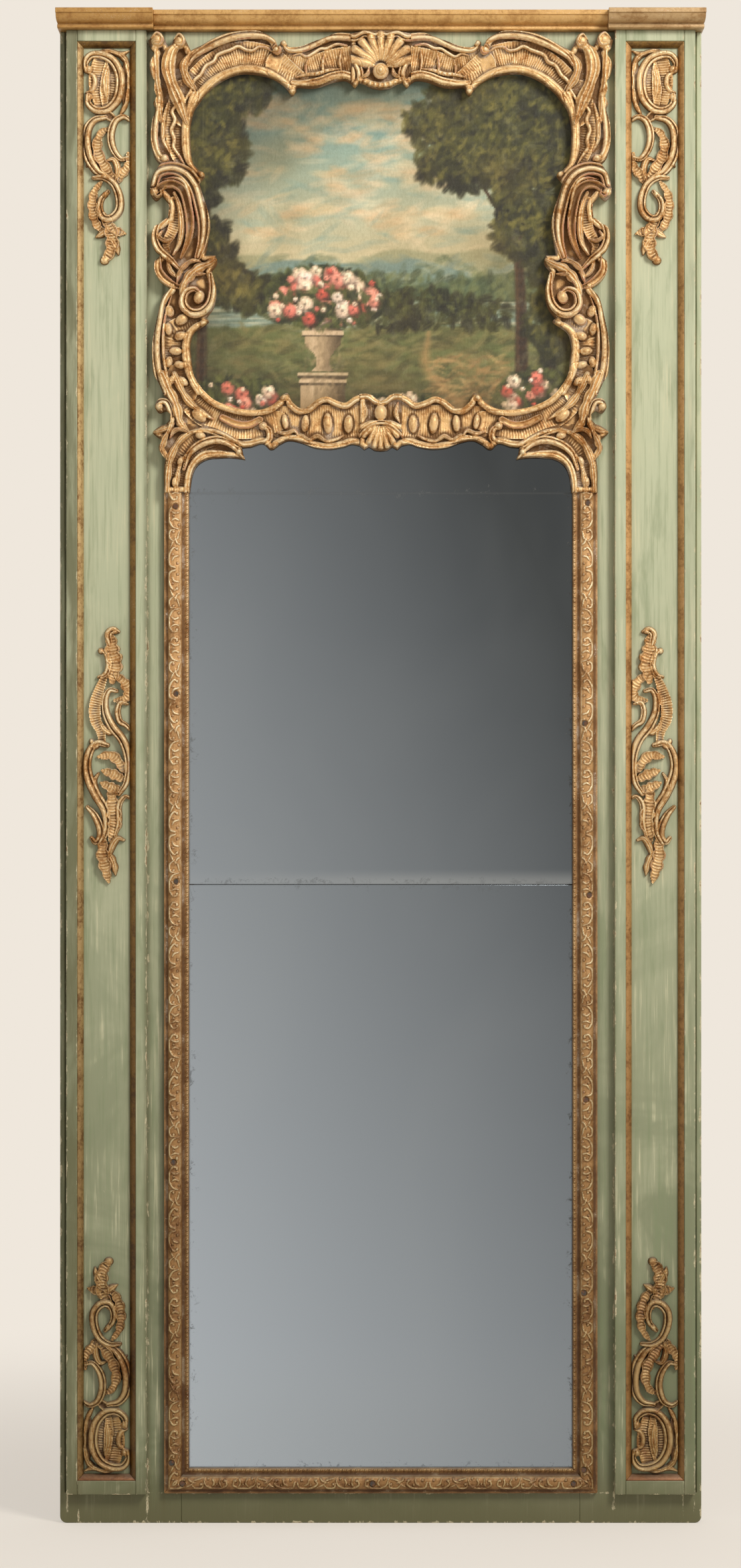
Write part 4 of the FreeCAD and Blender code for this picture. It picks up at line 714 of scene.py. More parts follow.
# Pilaster ornaments, about the pilaster's middle, with the left one's outer side at -X. Rows as above.
UPPER_STROKES = (
    (((-9, 2134), (-11, 2098), (-8, 2062)), 13, 6.5, flute, (0.6, 0.6)),
    (((6, 2126), (5, 2096), (0, 2062)), 12, 6, flute, (0.6, 0.5)),
    (((2, 2120), (-2, 2100), (-1, 2076)), 6, 8.5, leaf, (0.4, 0.3), 1, 3),
    (((-29, 2114), (-31, 2125), (-23, 2136), (-8, 2137), (8, 2129), (18, 2112), (20, 2092), (15, 2072), (2, 2058),
     (-14, 2056), (-26, 2065), (-27, 2078)), 6, 12, scroll, (0.6, 0.6), -1),
    (((-30, 2112), (-20, 2107), (-17, 2097), (-21, 2086), (-30, 2082)), 3.2, 8, domed, (0.4, 0.4)),
    (((-4, 2142), (12, 2141), (26, 2131), (31, 2116), (33, 2098), (31, 2082), (28, 2066), (20, 2050)), 5, 8.5,
     leaf, (0.4, 0.5), 1, 6),
    (((-14, 2141), (4, 2142), (20, 2138), (33, 2143)), 4.4, 8, leaf, (0.5, 0.3), 1, 2),
    (((26, 2126), (24, 2098), (24, 2066)), 3.6, 6, leaf, (0.4, 0.3)),
    (((-14, 2050), (0, 2050), (14, 2040)), 6, 8, twin, (0.5, 0.5)),
    (((-2, 2046), (-18, 2042), (-28, 2028), (-30, 2006), (-25, 1985), (-13, 1967), (3, 1958)), 6.4, 12, scroll,
     (0.5, 0.5), -1),
    (((2, 2030), (-9, 2022), (-14, 2004), (-9, 1985), (3, 1967), (15, 1948)), 7.4, 9.5, leaf, (0.4, 0.5), 1, 5),
    (((34, 2042), (24, 2047), (12, 2040), (6, 2021), (9, 2001), (20, 1986), (31, 1987)), 5, 11, scroll, (0.5, 0.5),
     -1),
    (((31, 1994), (33, 1978), (23, 1964), (14, 1950)), 6.4, 9, leaf, (0.4, 0.5), 1, 4),
    (((0, 1983), (10, 1985), (16, 1972), (14, 1954)), 4.6, 8, leaf, (0.4, 0.4)),
    (((-29, 1975), (-25, 1979), (-19, 1970), (-8, 1960)), 3.8, 7, leaf, (0.4, 0.4)),
    (((-19, 1958), (-4, 1958), (10, 1949), (18, 1931), (18, 1912), (8, 1900), (-4, 1900), (-10, 1912), (-8, 1926),
     (2, 1938)), 5.6, 12, scroll, (0.5, 0.5), -1),
    (((-8, 1952), (-18, 1937), (-21, 1918), (-18, 1899), (-10, 1884), (4, 1876)), 6.6, 9, leaf, (0.4, 0.4), 1, 6),
    (((-4, 1904), (5, 1884), (8, 1864), (4, 1848), (-4, 1839)), 9.4, 10, leaf, (0.5, 0.5), 1, 4),
    (((0, 1892), (13, 1881), (27, 1877)), 6.6, 9, leaf, (0.5, 0.3), 1, 2),
    (((4, 1884), (-8, 1876), (-15, 1872)), 5, 8, leaf, (0.5, 0.3)),
    (((6, 1870), (14, 1857), (17, 1847)), 5, 8, leaf, (0.5, 0.3)),
)
UPPER_EGGS = ((-26, 2116, 5, 6, 11), (-26, 2075, 5, 6, 11), (-3, 1838, 7, 6.5, 9), (-2, 1934, 4.5, 5, 11))
MIDDLE_STROKES = (
    (((17, 1298), (9, 1301), (2, 1294), (5, 1280)), 4.8, 10, scroll, (0.5, 0.7)),
    (((6, 1293), (8, 1270), (12, 1250), (8, 1226)), 11, 9.5, leaf, (0.5, 0.5), 1, 5),
    (((-10, 1272), (-1, 1266), (3, 1250), (-2, 1236), (-12, 1232)), 4, 9, scroll, (0.5, 0.5)),
    (((12, 1236), (26, 1224), (32, 1208), (24, 1199), (12, 1198)), 8, 8.5, leaf, (0.4, 0.4), 1, 4),
    (((-2, 1236), (-11, 1212), (-17, 1190), (-16, 1170), (-9, 1154), (-6, 1134)), 7.4, 8.5, flute, (0.5, 0.5)),
    (((14, 1212), (4, 1213), (-2, 1200), (-1, 1180), (8, 1160), (22, 1142), (30, 1122), (32, 1100), (28, 1078),
     (18, 1062)), 5.8, 12.5, scroll, (0.5, 0.5), -1),
    (((30, 1193), (20, 1194), (16, 1182), (19, 1168), (28, 1162), (36, 1153)), 4, 9, scroll, (0.5, 0.5)),
    (((-9, 1164), (0, 1154), (12, 1150)), 5.6, 7, leaf, (0.4, 0.4), 1, 2),
    (((-12, 1116), (6, 1118), (18, 1108), (24, 1094)), 7.4, 8, leaf, (0.4, 0.4), 1, 3),
    (((-6, 1096), (11, 1090), (26, 1082)), 7.4, 8.5, leaf, (0.4, 0.4), 1, 3),
    (((-8, 1078), (8, 1071), (22, 1068)), 7.4, 8, leaf, (0.4, 0.4), 1, 3),
    (((1, 1133), (-14, 1136), (-24, 1125), (-29, 1105), (-26, 1085), (-16, 1062), (-4, 1042), (0, 1025), (-2, 1005),
     (-9, 991)), 6.4, 12, scroll, (0.5, 0.5)),
    (((-23, 1141), (-18, 1131), (-9, 1136)), 4, 8, leaf, (0.4, 0.4)),
    (((-12, 1092), (-18, 1080), (-14, 1060), (-4, 1042)), 4.4, 8, leaf, (0.4, 0.4)),
    (((6, 1072), (9, 1045), (12, 1020), (6, 994)), 10, 9, leaf, (0.4, 0.4), 1, 5),
    (((34, 1056), (26, 1058), (18, 1045), (18, 1020), (12, 1000)), 4, 9, scroll, (0.5, 0.4)),
    (((-28, 1043), (-18, 1032), (-10, 1015), (-9, 1000), (-16, 992), (-22, 998)), 5.4, 10, scroll, (0.5, 0.5)),
    (((25, 995), (16, 997), (8, 986), (2, 968)), 4.8, 9, leaf, (0.4, 0.4)),
    (((-5, 998), (-6, 975), (-2, 955), (3, 934)), 9, 9.5, leaf, (0.5, 0.3), 1, 4),
    (((2, 978), (10, 962), (13, 944)), 5.4, 8, leaf, (0.4, 0.3), 1, 2),
)
MIDDLE_EGGS = ((12, 1298, 5, 4, 10), (-8, 1270, 5, 5, 9), (-22, 1138, 4, 5, 8))


def ornament_piece(name, strokes, eggs, place, replaced, seed, mirrored, step):
    """A pierced ornament of a pilaster, whose strokes are also its outline."""
    heights = [point[1] for stroke in strokes for point in stroke[0]]
    relief = Relief((-FIELD_BORDER, min(heights) - 10), (FIELD_BORDER, max(heights) + 10), step)
    for line, half_width, rise, cut, ends, *bend in strokes:
        broad = cut is leaf and half_width > BROAD_LEAF
        relief.stroke(line, half_width * ORNAMENT_WIDENING, rise, ribbed if broad else cut, ends, *bend, floor=1.6,
                      undercut=1.0, grow=True)
    for centre_x, centre_z, half_width, half_height, rise in eggs:
        relief.egg((centre_x, centre_z), half_width, half_height, rise, grow=True)
    relief.edge = np.minimum(relief.edge, FIELD_BORDER - np.abs(relief.x))
    relief.edge = np.minimum(relief.edge, FIELD_TOP - relief.z)
    relief.texture(np.random.default_rng(seed), 0.18)
    return relief.piece(name, place, FIELD_FRONT, FIELD_FRONT, "gilding", gilding("Ornament gilding"), [replaced],
                        mirrored, round_over=1.6)


# ---------------------------------------------------------------- the mirror's carved moulding

SECTION = ((0, 0.62), (0.13, 0.62), (0.16, 0.7), (0.22, 0.84), (0.3, 0.95), (0.42, 1), (0.55, 0.97), (0.66, 0.85),
           (0.69, 0.72), (0.73, 0.55), (0.78, 0.49), (0.83, 0.49), (0.87, 0.53), (0.92, 0.58), (0.97, 0.54), (1, 0.42))
DRAWN_WIDTH = 36.0
SECTION_RISE = 18.6
# Where the countersunk screws are: the distance from the middle and the height above the base.
SCREWS = {"left": ((-298, 1480), (-297, 1208), (-297, 935), (-301, 527), (-304, 90)),
          "right": ((301, 1485), (296, 1165), (303, 915), (298, 618), (295, 337), (295, 80)),
          "bottom": ((-288, 60), (-12, 60), (280, 60))}
SCREW_RADIUS = 3.6
SCREW_SINK = 1.8
# The row of beads: its place across the moulding, its height as a share of the rise, and its end below the top.
BEAD_SHARE = 0.925
BEAD_LEVEL = 0.57
BEAD_RADIUS = 2.1
BEADS_BELOW = 4.0
TILE = 96.0
TILE_STROKES = (
    (((16, 2), (9, 5), (7, 14), (9, 24), (15, 31), (20, 27)), 2.0, 3.1, (0.8, 0.5)),
    (((12, 12), (15, 17), (21, 19)), 1.7, 2.6, (0.4, 0.8)),
    (((9, 30), (14, 40), (20, 45), (22, 54)), 1.7, 2.8, (0.4, 0.5)),
    (((14, 40), (8, 46), (9, 55), (15, 57)), 1.8, 3.0, (0.4, 0.8)),
    (((16, 46), (19, 38), (22, 36)), 1.6, 2.6, (0.4, 0.9)),
    (((21, 58), (13, 61), (8, 70), (8, 82), (13, 91), (19, 90)), 2.0, 3.1, (0.5, 0.8)),
    (((11, 70), (16, 73), (21, 71)), 1.7, 2.7, (0.4, 0.9)),
    (((10, 84), (16, 81), (21, 82)), 1.6, 2.6, (0.4, 0.9)),
)
TILE_EGGS = ((19, 29, 2.2, 2.2), (19, 88, 2.2, 2.2), (14, 54, 2.0, 2.0), (22, 64, 1.8, 1.8), (20, 8, 1.8, 1.8),
             (13, 21, 1.6, 1.6), (14, 77, 1.6, 1.6))


def section_rise(share):
    """How high the plain moulding stands at a share of its width from its outer edge."""
    return np.interp(share, *zip(*SECTION)) * SECTION_RISE


def moulding_piece(name, replaced, length, high_mitre, place, screws, step, seed, upright=True, mirrored=False):
    """A length of the moulding. It is carved with scrolls and sprigs, and runs up the grid or across it."""
    end = (MOULDING_WIDTH, length) if upright else (length, MOULDING_WIDTH)
    relief = Relief((0, 0), end, step)
    across, along = (relief.x, relief.z) if upright else (relief.z, relief.x)
    share = np.clip(across / MOULDING_WIDTH, 0, 1)
    body = section_rise(share)
    scale = MOULDING_WIDTH / DRAWN_WIDTH
    for number in range(-1, int(length / TILE) + 2):
        flip = number % 2
        for line, half_width, rise, ends in TILE_STROKES:
            points = [(v * scale, (t if not flip else TILE - t) + number * TILE) for v, t in line]
            if max(t for _, t in points) < 0 or min(t for _, t in points) > length:
                continue
            relief.stroke(points if upright else [(t, v) for v, t in points], half_width, rise, domed, ends,
                          undercut=1.1)
        for v, t, half_width, half_height in TILE_EGGS:
            centre = (v * scale, (t if not flip else TILE - t) + number * TILE)
            if not -3 < centre[1] < length + 3:
                continue
            reach = (half_width, half_height) if upright else (half_height, half_width)
            relief.egg(centre if upright else centre[::-1], *reach, 3.0, groove=0.8)
    band = np.clip((share - 0.15) / 0.05, 0, 1) * np.clip((0.68 - share) / 0.04, 0, 1)
    relief.height = body + relief.height * band
    for u, w in screws:
        sunk = np.clip((SCREW_RADIUS + 1.8 - np.hypot(relief.x - u, relief.z - w)) / 1.2, 0, 1)
        relief.height = relief.height * (1 - sunk) + (body - SCREW_SINK) * sunk
    edge = np.minimum(across, MOULDING_WIDTH - across)
    edge = np.minimum(edge, (along - across) / math.sqrt(2))
    if high_mitre:
        edge = np.minimum(edge, (length - along - across) / math.sqrt(2))
    relief.edge = np.minimum(edge, np.minimum(along, length - along))
    relief.texture(np.random.default_rng(seed), 0.16)
    finish = gilding("Moulding gilding", 0.0, rgb("cda06a"), deep=rgb("96693a"))
    return relief.piece(name, place, GROUND_FRONT, GROUND_FRONT, "gilding", finish, [replaced], mirrored,
                        round_over=0.8)


# ---------------------------------------------------------------- what repeats, by geometry nodes

def repeated(name, points, edges, shape, spacing, radius, finish, variation=0.12):
    """Beads or heads at the points given, or evenly along the lines that join them."""
    tree = bpy.data.node_groups.new(name + " nodes", "GeometryNodeTree")
    tree.interface.new_socket("Line", in_out="INPUT", socket_type="NodeSocketGeometry")
    for label, kind, default in (("Radius", "NodeSocketFloat", radius * MM),
                                 ("Spacing", "NodeSocketFloat", spacing * MM),
                                 ("Variation", "NodeSocketFloat", variation), ("Seed", "NodeSocketInt", SEED)):
        tree.interface.new_socket(label, in_out="INPUT", socket_type=kind).default_value = default
    tree.interface.new_socket("Finish", in_out="INPUT", socket_type="NodeSocketMaterial")
    tree.interface.new_socket("Heads", in_out="OUTPUT", socket_type="NodeSocketGeometry")
    nodes = Nodes(tree)
    given = nodes.add("NodeGroupInput").outputs
    where = given["Line"]
    if edges:
        curve = nodes.add("GeometryNodeMeshToCurve", {"Mesh": where}).outputs["Curve"]
        where = nodes.add("GeometryNodeResampleCurve", {"Curve": curve, "Length": given["Spacing"]},
                          mode="LENGTH").outputs["Curve"]
    if shape == "bead":
        head = nodes.add("GeometryNodeMeshUVSphere", {"Segments": 8, "Rings": 6, "Radius": 1.0}).outputs["Mesh"]
    else:
        head = nodes.add("GeometryNodeMeshCylinder", {"Vertices": 20, "Radius": 1.0, "Depth": 0.5}).outputs["Mesh"]
        head = nodes.add("GeometryNodeTransform", {"Geometry": head, "Rotation": (math.pi / 2, 0, 0)}).outputs[0]
    least = nodes.math("SUBTRACT", 1.0, given["Variation"])
    most = nodes.plus(1.0, given["Variation"])
    size = nodes.add("FunctionNodeRandomValue", {"Min": least, "Max": most, "Seed": given["Seed"]})
    scale = nodes.times(size.outputs["Value"], given["Radius"])
    placed = nodes.add("GeometryNodeInstanceOnPoints", {"Points": where, "Instance": head, "Scale": scale})
    real = nodes.add("GeometryNodeRealizeInstances", {"Geometry": placed.outputs[0]}).outputs[0]
    done = nodes.add("GeometryNodeSetMaterial", {"Geometry": real, "Material": given["Finish"]}).outputs[0]
    nodes.set(nodes.add("NodeGroupOutput").inputs["Heads"], done)

    base = bpy.data.meshes.new(name + " line")
    base.from_pydata((np.asarray(points, float) * MM).tolist(), edges, [])
    carrier = bpy.data.objects.new(name + " line", base)
    bpy.context.scene.collection.objects.link(carrier)
    modifier = carrier.modifiers.new("Repeat", "NODES")
    modifier.node_group = tree
    values = {"Radius": radius * MM, "Spacing": spacing * MM, "Variation": variation, "Seed": SEED, "Finish": finish}
    for item in tree.interface.items_tree:
        if item.item_type == "SOCKET" and item.in_out == "INPUT" and item.name in values:
            modifier[item.identifier] = values[item.name]
    bpy.context.view_layer.update()
    solid = carrier.evaluated_get(bpy.context.evaluated_depsgraph_get())
    mesh = bpy.data.meshes.new_from_object(solid)
    bpy.data.objects.remove(carrier)
    mesh.name = name
    mesh.shade_smooth()
    mesh.set_sharp_from_angle(angle=SHARP_EDGE)
    piece = bpy.data.objects.new(name, mesh)
    bpy.context.scene.collection.objects.link(piece)
    return settle(piece)


# ---------------------------------------------------------------- materials

def rgb(code):
    """A colour as it is written on screens, as the linear values that shaders take."""
    values = [int(code[i:i + 2], 16) / 255 for i in (0, 2, 4)]
    return (*[v / 12.92 if v <= 0.04045 else ((v + 0.055) / 1.055) ** 2.4 for v in values], 1.0)


class Nodes:
    """A node tree being made. An input takes a value or another node's output."""

    def __init__(self, tree):
        self.tree = tree

    def set(self, socket, value):
        """Gives an input its value or its link."""
        if isinstance(value, bpy.types.NodeSocket):
            self.tree.links.new(value, socket)
        else:
            socket.default_value = value

    def add(self, kind, inputs=(), **settings):
        """A new node with its settings and inputs."""
        made = self.tree.nodes.new(kind)
        for name, value in settings.items():
            setattr(made, name, value)
        for key, value in dict(inputs).items():
            self.set(made.inputs[key], value)
        return made

    def math(self, operation, *values):
        """One sum on numbers, under the name that Blender gives it."""
        made = self.add("ShaderNodeMath", operation=operation, use_clamp=False)
        for socket, value in zip(made.inputs, values):
            self.set(socket, value)
        return made.outputs[0]

    def times(self, first, second):
        """A product."""
        return self.math("MULTIPLY", first, second)

    def plus(self, first, second):
        """A sum."""
        return self.math("ADD", first, second)

    def most(self, first, second):
        """The larger of two."""
        return self.math("MAXIMUM", first, second)

    def gap(self, value, line):
        """How far a value lies from a line, in millimetres."""
        return self.math("ABSOLUTE", self.math("SUBTRACT", value, line * MM))

    def split(self, vector):
        """A vector's three shares."""
        return self.add("ShaderNodeSeparateXYZ", {0: vector}).outputs

    def mix(self, factor, first, second, blend="MIX"):
        """Two colours mixed."""
        made = self.add("ShaderNodeMix", {0: factor, 6: first, 7: second}, data_type="RGBA", blend_type=blend)
        return made.outputs[2]

    def step(self, value, low, high, start=0.0, end=1.0):
        """A smooth step from start to end as the value goes from low to high."""
        return self.add("ShaderNodeMapRange", {"Value": value, "From Min": low, "From Max": high, "To Min": start,
                                               "To Max": end}, interpolation_type="SMOOTHSTEP").outputs[0]

    def noise(self, place, scale, detail=4.0, roughness=0.55, distortion=0.0):
        """A cloudy value round a half."""
        return self.add("ShaderNodeTexNoise", {"Vector": place, "Scale": scale, "Detail": detail,
                                               "Roughness": roughness, "Distortion": distortion}).outputs[0]

    def stretched(self, place, x, y, z):
        """A place scaled along each axis."""
        return self.add("ShaderNodeVectorMath", {0: place, 1: (x, y, z)}, operation="MULTIPLY").outputs[0]

    def group(self, tree, inputs):
        """A node group's outputs, for the inputs given."""
        made = self.add("ShaderNodeGroup", node_tree=tree)
        for key, value in inputs.items():
            self.set(made.inputs[key], value)
        return made.outputs


def shared(name, inputs, outputs, build):
    """A node group that several materials use, made once."""
    tree = bpy.data.node_groups.get(name)
    if tree is None:
        tree = bpy.data.node_groups.new(name, "ShaderNodeTree")
        for label, kind, default in inputs:
            socket = tree.interface.new_socket(label, in_out="INPUT", socket_type="NodeSocket" + kind)
            if default is not None:
                socket.default_value = default
        for label, kind in outputs:
            tree.interface.new_socket(label, in_out="OUTPUT", socket_type="NodeSocket" + kind)
        nodes = Nodes(tree)
        given = nodes.add("NodeGroupInput").outputs
        made = build(nodes, given)
        out = nodes.add("NodeGroupOutput")
        for label, _ in outputs:
            nodes.set(out.inputs[label], made[label])
    return tree


def old_gilding():
    """Gold worn off the crests to red bole, burnished and lightened with a painted highlight on the crests, dark with
    painted shade in the hollows, with whitish gesso where it has flaked, and darker towards the bottom.
    """
    def build(nodes, given):
        place = given["Place"]
        patch = nodes.noise(place, 23.0, 6.0, 0.66, 0.4)
        fine = nodes.noise(place, 190.0, 5.0, 0.7)
        speck = nodes.noise(place, 620.0, 3.0, 0.6)
        cover = nodes.plus(nodes.times(patch, 0.55), nodes.times(fine, 0.45))
        gold = nodes.mix(nodes.step(cover, 0.37, 0.56), given["Deep gold"], given["Gold"])
        crest = given["Crest"]
        # Burnished gold on the crests, lightened further into a painted highlight.
        burnish_and_highlight = nodes.times(nodes.step(crest, 0.0, 0.75), nodes.step(cover, 0.38, 0.58))
        gold = nodes.mix(nodes.times(burnish_and_highlight, 0.95), gold, given["Burnish and painted highlight"])
        rubbed = nodes.plus(nodes.times(nodes.step(crest, 0.1, 1.7), 0.24), cover)
        worn = nodes.step(nodes.plus(rubbed, given["Wear"]), 0.66, 0.78)
        colour = nodes.mix(nodes.times(worn, 0.82), gold, given["Bole"])
        # Painted shade darkens the hollows towards the recess colour.
        hollow = nodes.step(nodes.plus(given["Cavity"], nodes.times(fine, 1.2)), 0.8, 2.9)
        colour = nodes.mix(nodes.times(hollow, 0.86), colour, given["Recess shade"])
        flaked = nodes.times(nodes.step(nodes.plus(speck, nodes.times(patch, 0.5)), 0.88, 0.97),
                             nodes.step(given["Cavity"], -0.6, 1.2))
        dusty = nodes.times(nodes.step(given["Cavity"], 0.6, 2.6), nodes.step(patch, 0.5, 0.68))
        chalk = nodes.most(flaked, nodes.times(dusty, 0.55))
        colour = nodes.mix(nodes.times(chalk, 0.8), colour, given["Gesso"])
        # Darker towards the bottom.
        height = nodes.split(place)[2]
        colour = nodes.mix(nodes.step(height, 1.55, 0.15), colour, given["Darkening"], "MULTIPLY")
        bare = nodes.most(nodes.most(worn, hollow), chalk)
        return {"Color": colour, "Leaf": nodes.math("SUBTRACT", 1.0, bare), "Unevenness":
                nodes.plus(nodes.times(fine, 0.7), nodes.times(speck, 0.3))}
    return shared("Old gilding", (
        ("Place", "Vector", None), ("Crest", "Float", 0.0), ("Cavity", "Float", 0.0), ("Wear", "Float", 0.0),
        ("Gold", "Color", rgb("e2b87c")), ("Burnish and painted highlight", "Color", rgb("fdecc4")),
        ("Deep gold", "Color", rgb("a9743a")), ("Bole", "Color", rgb("b97355")),
        ("Recess shade", "Color", rgb("5c3a14")), ("Gesso", "Color", rgb("eadccb")),
        ("Darkening", "Color", (0.47, 0.42, 0.32, 1)),
    ), (("Color", "Color"), ("Leaf", "Float"), ("Unevenness", "Float")), build)


def old_paint():
    """Brushed paint that has streaked and thinned along the grain, and worn through at the edges. Painted shade
    darkens it where its darkening mask is set, and it grows darker towards the bottom.
    """
    def build(nodes, given):
        place = given["Place"]
        along = nodes.stretched(place, 1.0, 1.0, 0.035)
        streak = nodes.noise(along, 260.0, 5.0, 0.6)
        broad = nodes.noise(nodes.stretched(place, 1.0, 1.0, 0.16), 42.0, 4.0, 0.6, 0.3)
        cloud = nodes.noise(place, 5.5, 4.0, 0.6, 0.6)
        chip = nodes.noise(nodes.stretched(place, 1.0, 1.0, 0.4), 95.0, 6.0, 0.72, 0.3)
        height = nodes.split(place)[2]
        # Darker towards the bottom.
        paint = nodes.mix(nodes.step(height, -0.1, 1.75), given["Lower paint"], given["Upper paint"])
        paint = nodes.mix(nodes.times(nodes.step(cloud, 0.4, 0.68), 0.3), paint, given["Faded"])
        paint = nodes.mix(nodes.times(nodes.step(streak, 0.48, 0.7), 0.34), paint, given["Shade"])
        paint = nodes.mix(nodes.times(nodes.step(broad, 0.5, 0.72), 0.5), paint, given["Shade"])
        rubbed = nodes.times(nodes.step(streak, 0.46, 0.3), nodes.step(cloud, 0.42, 0.56))
        paint = nodes.mix(nodes.times(rubbed, 0.6), paint, given["Streak"])
        # Painted shade in the dark tone where the darkening mask is set, broken up by the broad streaks.
        edge_shade = nodes.times(given["Darkening"], nodes.step(broad, 0.25, 0.6, 0.35, 0.95))
        paint = nodes.mix(edge_shade, paint, given["Dark tone"])
        # Darker still along the foot.
        foot = nodes.times(nodes.step(height, 0.12, 0.0), 0.95)
        paint = nodes.mix(foot, paint, given["Dark tone"])
        thin = nodes.plus(nodes.times(given["Edge"], 0.2), chip)
        worn = nodes.step(thin, 0.69, 0.77)
        chipped = nodes.step(thin, 0.79, 0.84)
        colour = nodes.mix(nodes.times(worn, 0.75), paint, given["Undercoat"])
        colour = nodes.mix(nodes.times(chipped, 0.85), colour, given["Wood"])
        relief = nodes.math("SUBTRACT", nodes.times(streak, 0.6), nodes.times(worn, 0.5))
        return {"Color": colour, "Worn": worn, "Unevenness": relief}
    return shared("Old paint", (
        ("Place", "Vector", None), ("Edge", "Float", 0.0), ("Darkening", "Float", 0.0),
        ("Upper paint", "Color", rgb("b9be9e")), ("Lower paint", "Color", rgb("686e4f")),
        ("Faded", "Color", rgb("c9c8a8")), ("Dark tone", "Color", rgb("5d5a3a")), ("Streak", "Color", rgb("cfcba8")),
        ("Shade", "Color", rgb("76835f")), ("Undercoat", "Color", rgb("d3c8a6")), ("Wood", "Color", rgb("7d5a37")),
    ), (("Color", "Color"), ("Worn", "Float"), ("Unevenness", "Float")), build)


def settled_dust():
    """A mask of the dust on what faces up."""
    def build(nodes, given):
        up = nodes.split(given["Normal"])[2]
        patchy = nodes.step(nodes.noise(given["Place"], 60.0, 4.0, 0.6), 0.3, 0.7, 0.5, 1.0)
        return {"Dust": nodes.times(nodes.step(up, 0.45, 0.95), patchy)}
    return shared("Settled dust", (("Place", "Vector", None), ("Normal", "Vector", None)), (("Dust", "Float"),), build)


def started(name):
    """A new material's nodes, its shader and the coordinates that keep with the object."""
    made = bpy.data.materials.new(name)
    made.use_nodes = True
    nodes = Nodes(made.node_tree)
    shader = made.node_tree.nodes["Principled BSDF"]
    return made, nodes, shader, nodes.add("ShaderNodeTexCoord").outputs["Object"]


def material(build):
    """Makes a build of shader nodes into a function that gives the material of a name, made once."""
    def asked(name, *settings, **named):
        """The material, from the file if it is there."""
        if name not in bpy.data.materials:
            build(*started(name)[1:], *settings, **named)
        return bpy.data.materials[name]
    return asked


def bumped(nodes, shader, height, distance):
    """Lets a height in metres times the distance raise the surface."""
    made = nodes.add("ShaderNodeBump", {"Height": height, "Distance": distance, "Strength": 1.0})
    nodes.set(shader.inputs["Normal"], made.outputs[0])


def dusted(nodes, place, colour, amount=0.45):
    """A colour with dust where the surface faces up."""
    normal = nodes.add("ShaderNodeNewGeometry").outputs["Normal"]
    dust = nodes.group(settled_dust(), {"Place": place, "Normal": normal})["Dust"]
    return nodes.mix(nodes.times(dust, amount), colour, rgb("b7ad98"))


@material
def gilding(nodes, shader, place, wear=0.0, gold=None, burnish_and_highlight=None, deep=None, plain=False, metallic=0.3):
    """A gilt material. Carved pieces give it their crests and hollows, and plain ones have none."""
    looks = bpy.context.scene.trumeau_looks
    inputs = {"Place": place, "Wear": wear + looks.wear - 0.5, "Gold": gold or (*looks.gold, 1),
              "Bole": (*looks.bole, 1)}
    # The burnish colour also gives carved crests their painted highlight.
    if burnish_and_highlight:
        inputs["Burnish and painted highlight"] = burnish_and_highlight
    if deep:
        inputs["Deep gold"] = deep
    if not plain:
        inputs["Crest"] = nodes.add("ShaderNodeAttribute", attribute_name="crest").outputs["Fac"]
        inputs["Cavity"] = nodes.add("ShaderNodeAttribute", attribute_name="cavity").outputs["Fac"]
    old = nodes.group(old_gilding(), inputs)
    nodes.set(shader.inputs["Base Color"], dusted(nodes, place, old["Color"], 0.3))
    nodes.set(shader.inputs["Metallic"], nodes.times(old["Leaf"], metallic))
    nodes.set(shader.inputs["Roughness"], nodes.step(old["Leaf"], 0.0, 1.0, 0.78, 0.42))
    bumped(nodes, shader, old["Unevenness"], 0.0007)


@material
def paintwork(nodes, shader, place):
    """The green paint on the ground panel and the pilasters, with painted shade beside the pilasters and the moulding
    and along the left outer edge.
    """
    looks = bpy.context.scene.trumeau_looks
    x, _, z = nodes.split(place)
    out = nodes.math("ABSOLUTE", x)
    near = 0.0
    for line, reach in ((PILASTER_INNER, 6), (PILASTER_OUTER, 5), (-PANEL_LOW[0], 7), (PILASTER_OUTER - 16.5, 4)):
        gap = nodes.gap(out, line)
        near = nodes.most(nodes.step(gap, 0.0, reach * MM, 1.0, 0.0), near)
    for line, reach in ((0, 7), (PILASTER_FOOT, 3.5)):
        gap = nodes.gap(z, line)
        near = nodes.most(nodes.step(gap, 0.0, reach * MM, 1.0, 0.0), near)
    # Painted shade in bands beside the pilasters' edges and the moulding, less on the right, and most along the left
    # outer edge.
    painted_shade = 0.0
    for line, reach, strength in ((PILASTER_INNER, 8, 0.7), (PILASTER_OUTER - 8, 13, 0.5),
                                  (PILASTER_INNER + 24, 10, 0.3), (MOULDING_HALF + 1, 5, 0.8)):
        gap = nodes.gap(out, line)
        painted_shade = nodes.most(nodes.step(gap, 0.0, reach * MM, strength, 0.0), painted_shade)
    painted_shade = nodes.times(painted_shade, nodes.step(x, -0.05, 0.05, 1.0, 0.45))
    left_edge_shade = nodes.step(x, (30 - PILASTER_OUTER) * MM, (14 - PILASTER_OUTER) * MM, 0.0, 0.85)
    painted_shade = nodes.most(painted_shade, left_edge_shade)
    old = nodes.group(old_paint(), {"Place": place, "Edge": near, "Darkening": painted_shade, "Upper paint": (*looks.paint, 1)})
    behind = nodes.split(nodes.add("ShaderNodeNewGeometry").outputs["Normal"])[1]
    raw = nodes.mix(nodes.step(old["Unevenness"], -0.1, 0.5), rgb("8f7350"), rgb("6e5536"))
    colour = nodes.mix(nodes.step(behind, 0.5, 0.8), dusted(nodes, place, old["Color"], 0.35), raw)
    nodes.set(shader.inputs["Base Color"], colour)
    nodes.set(shader.inputs["Roughness"], nodes.step(old["Worn"], 0.0, 1.0, 0.56, 0.8))
    bumped(nodes, shader, old["Unevenness"], 0.0006)


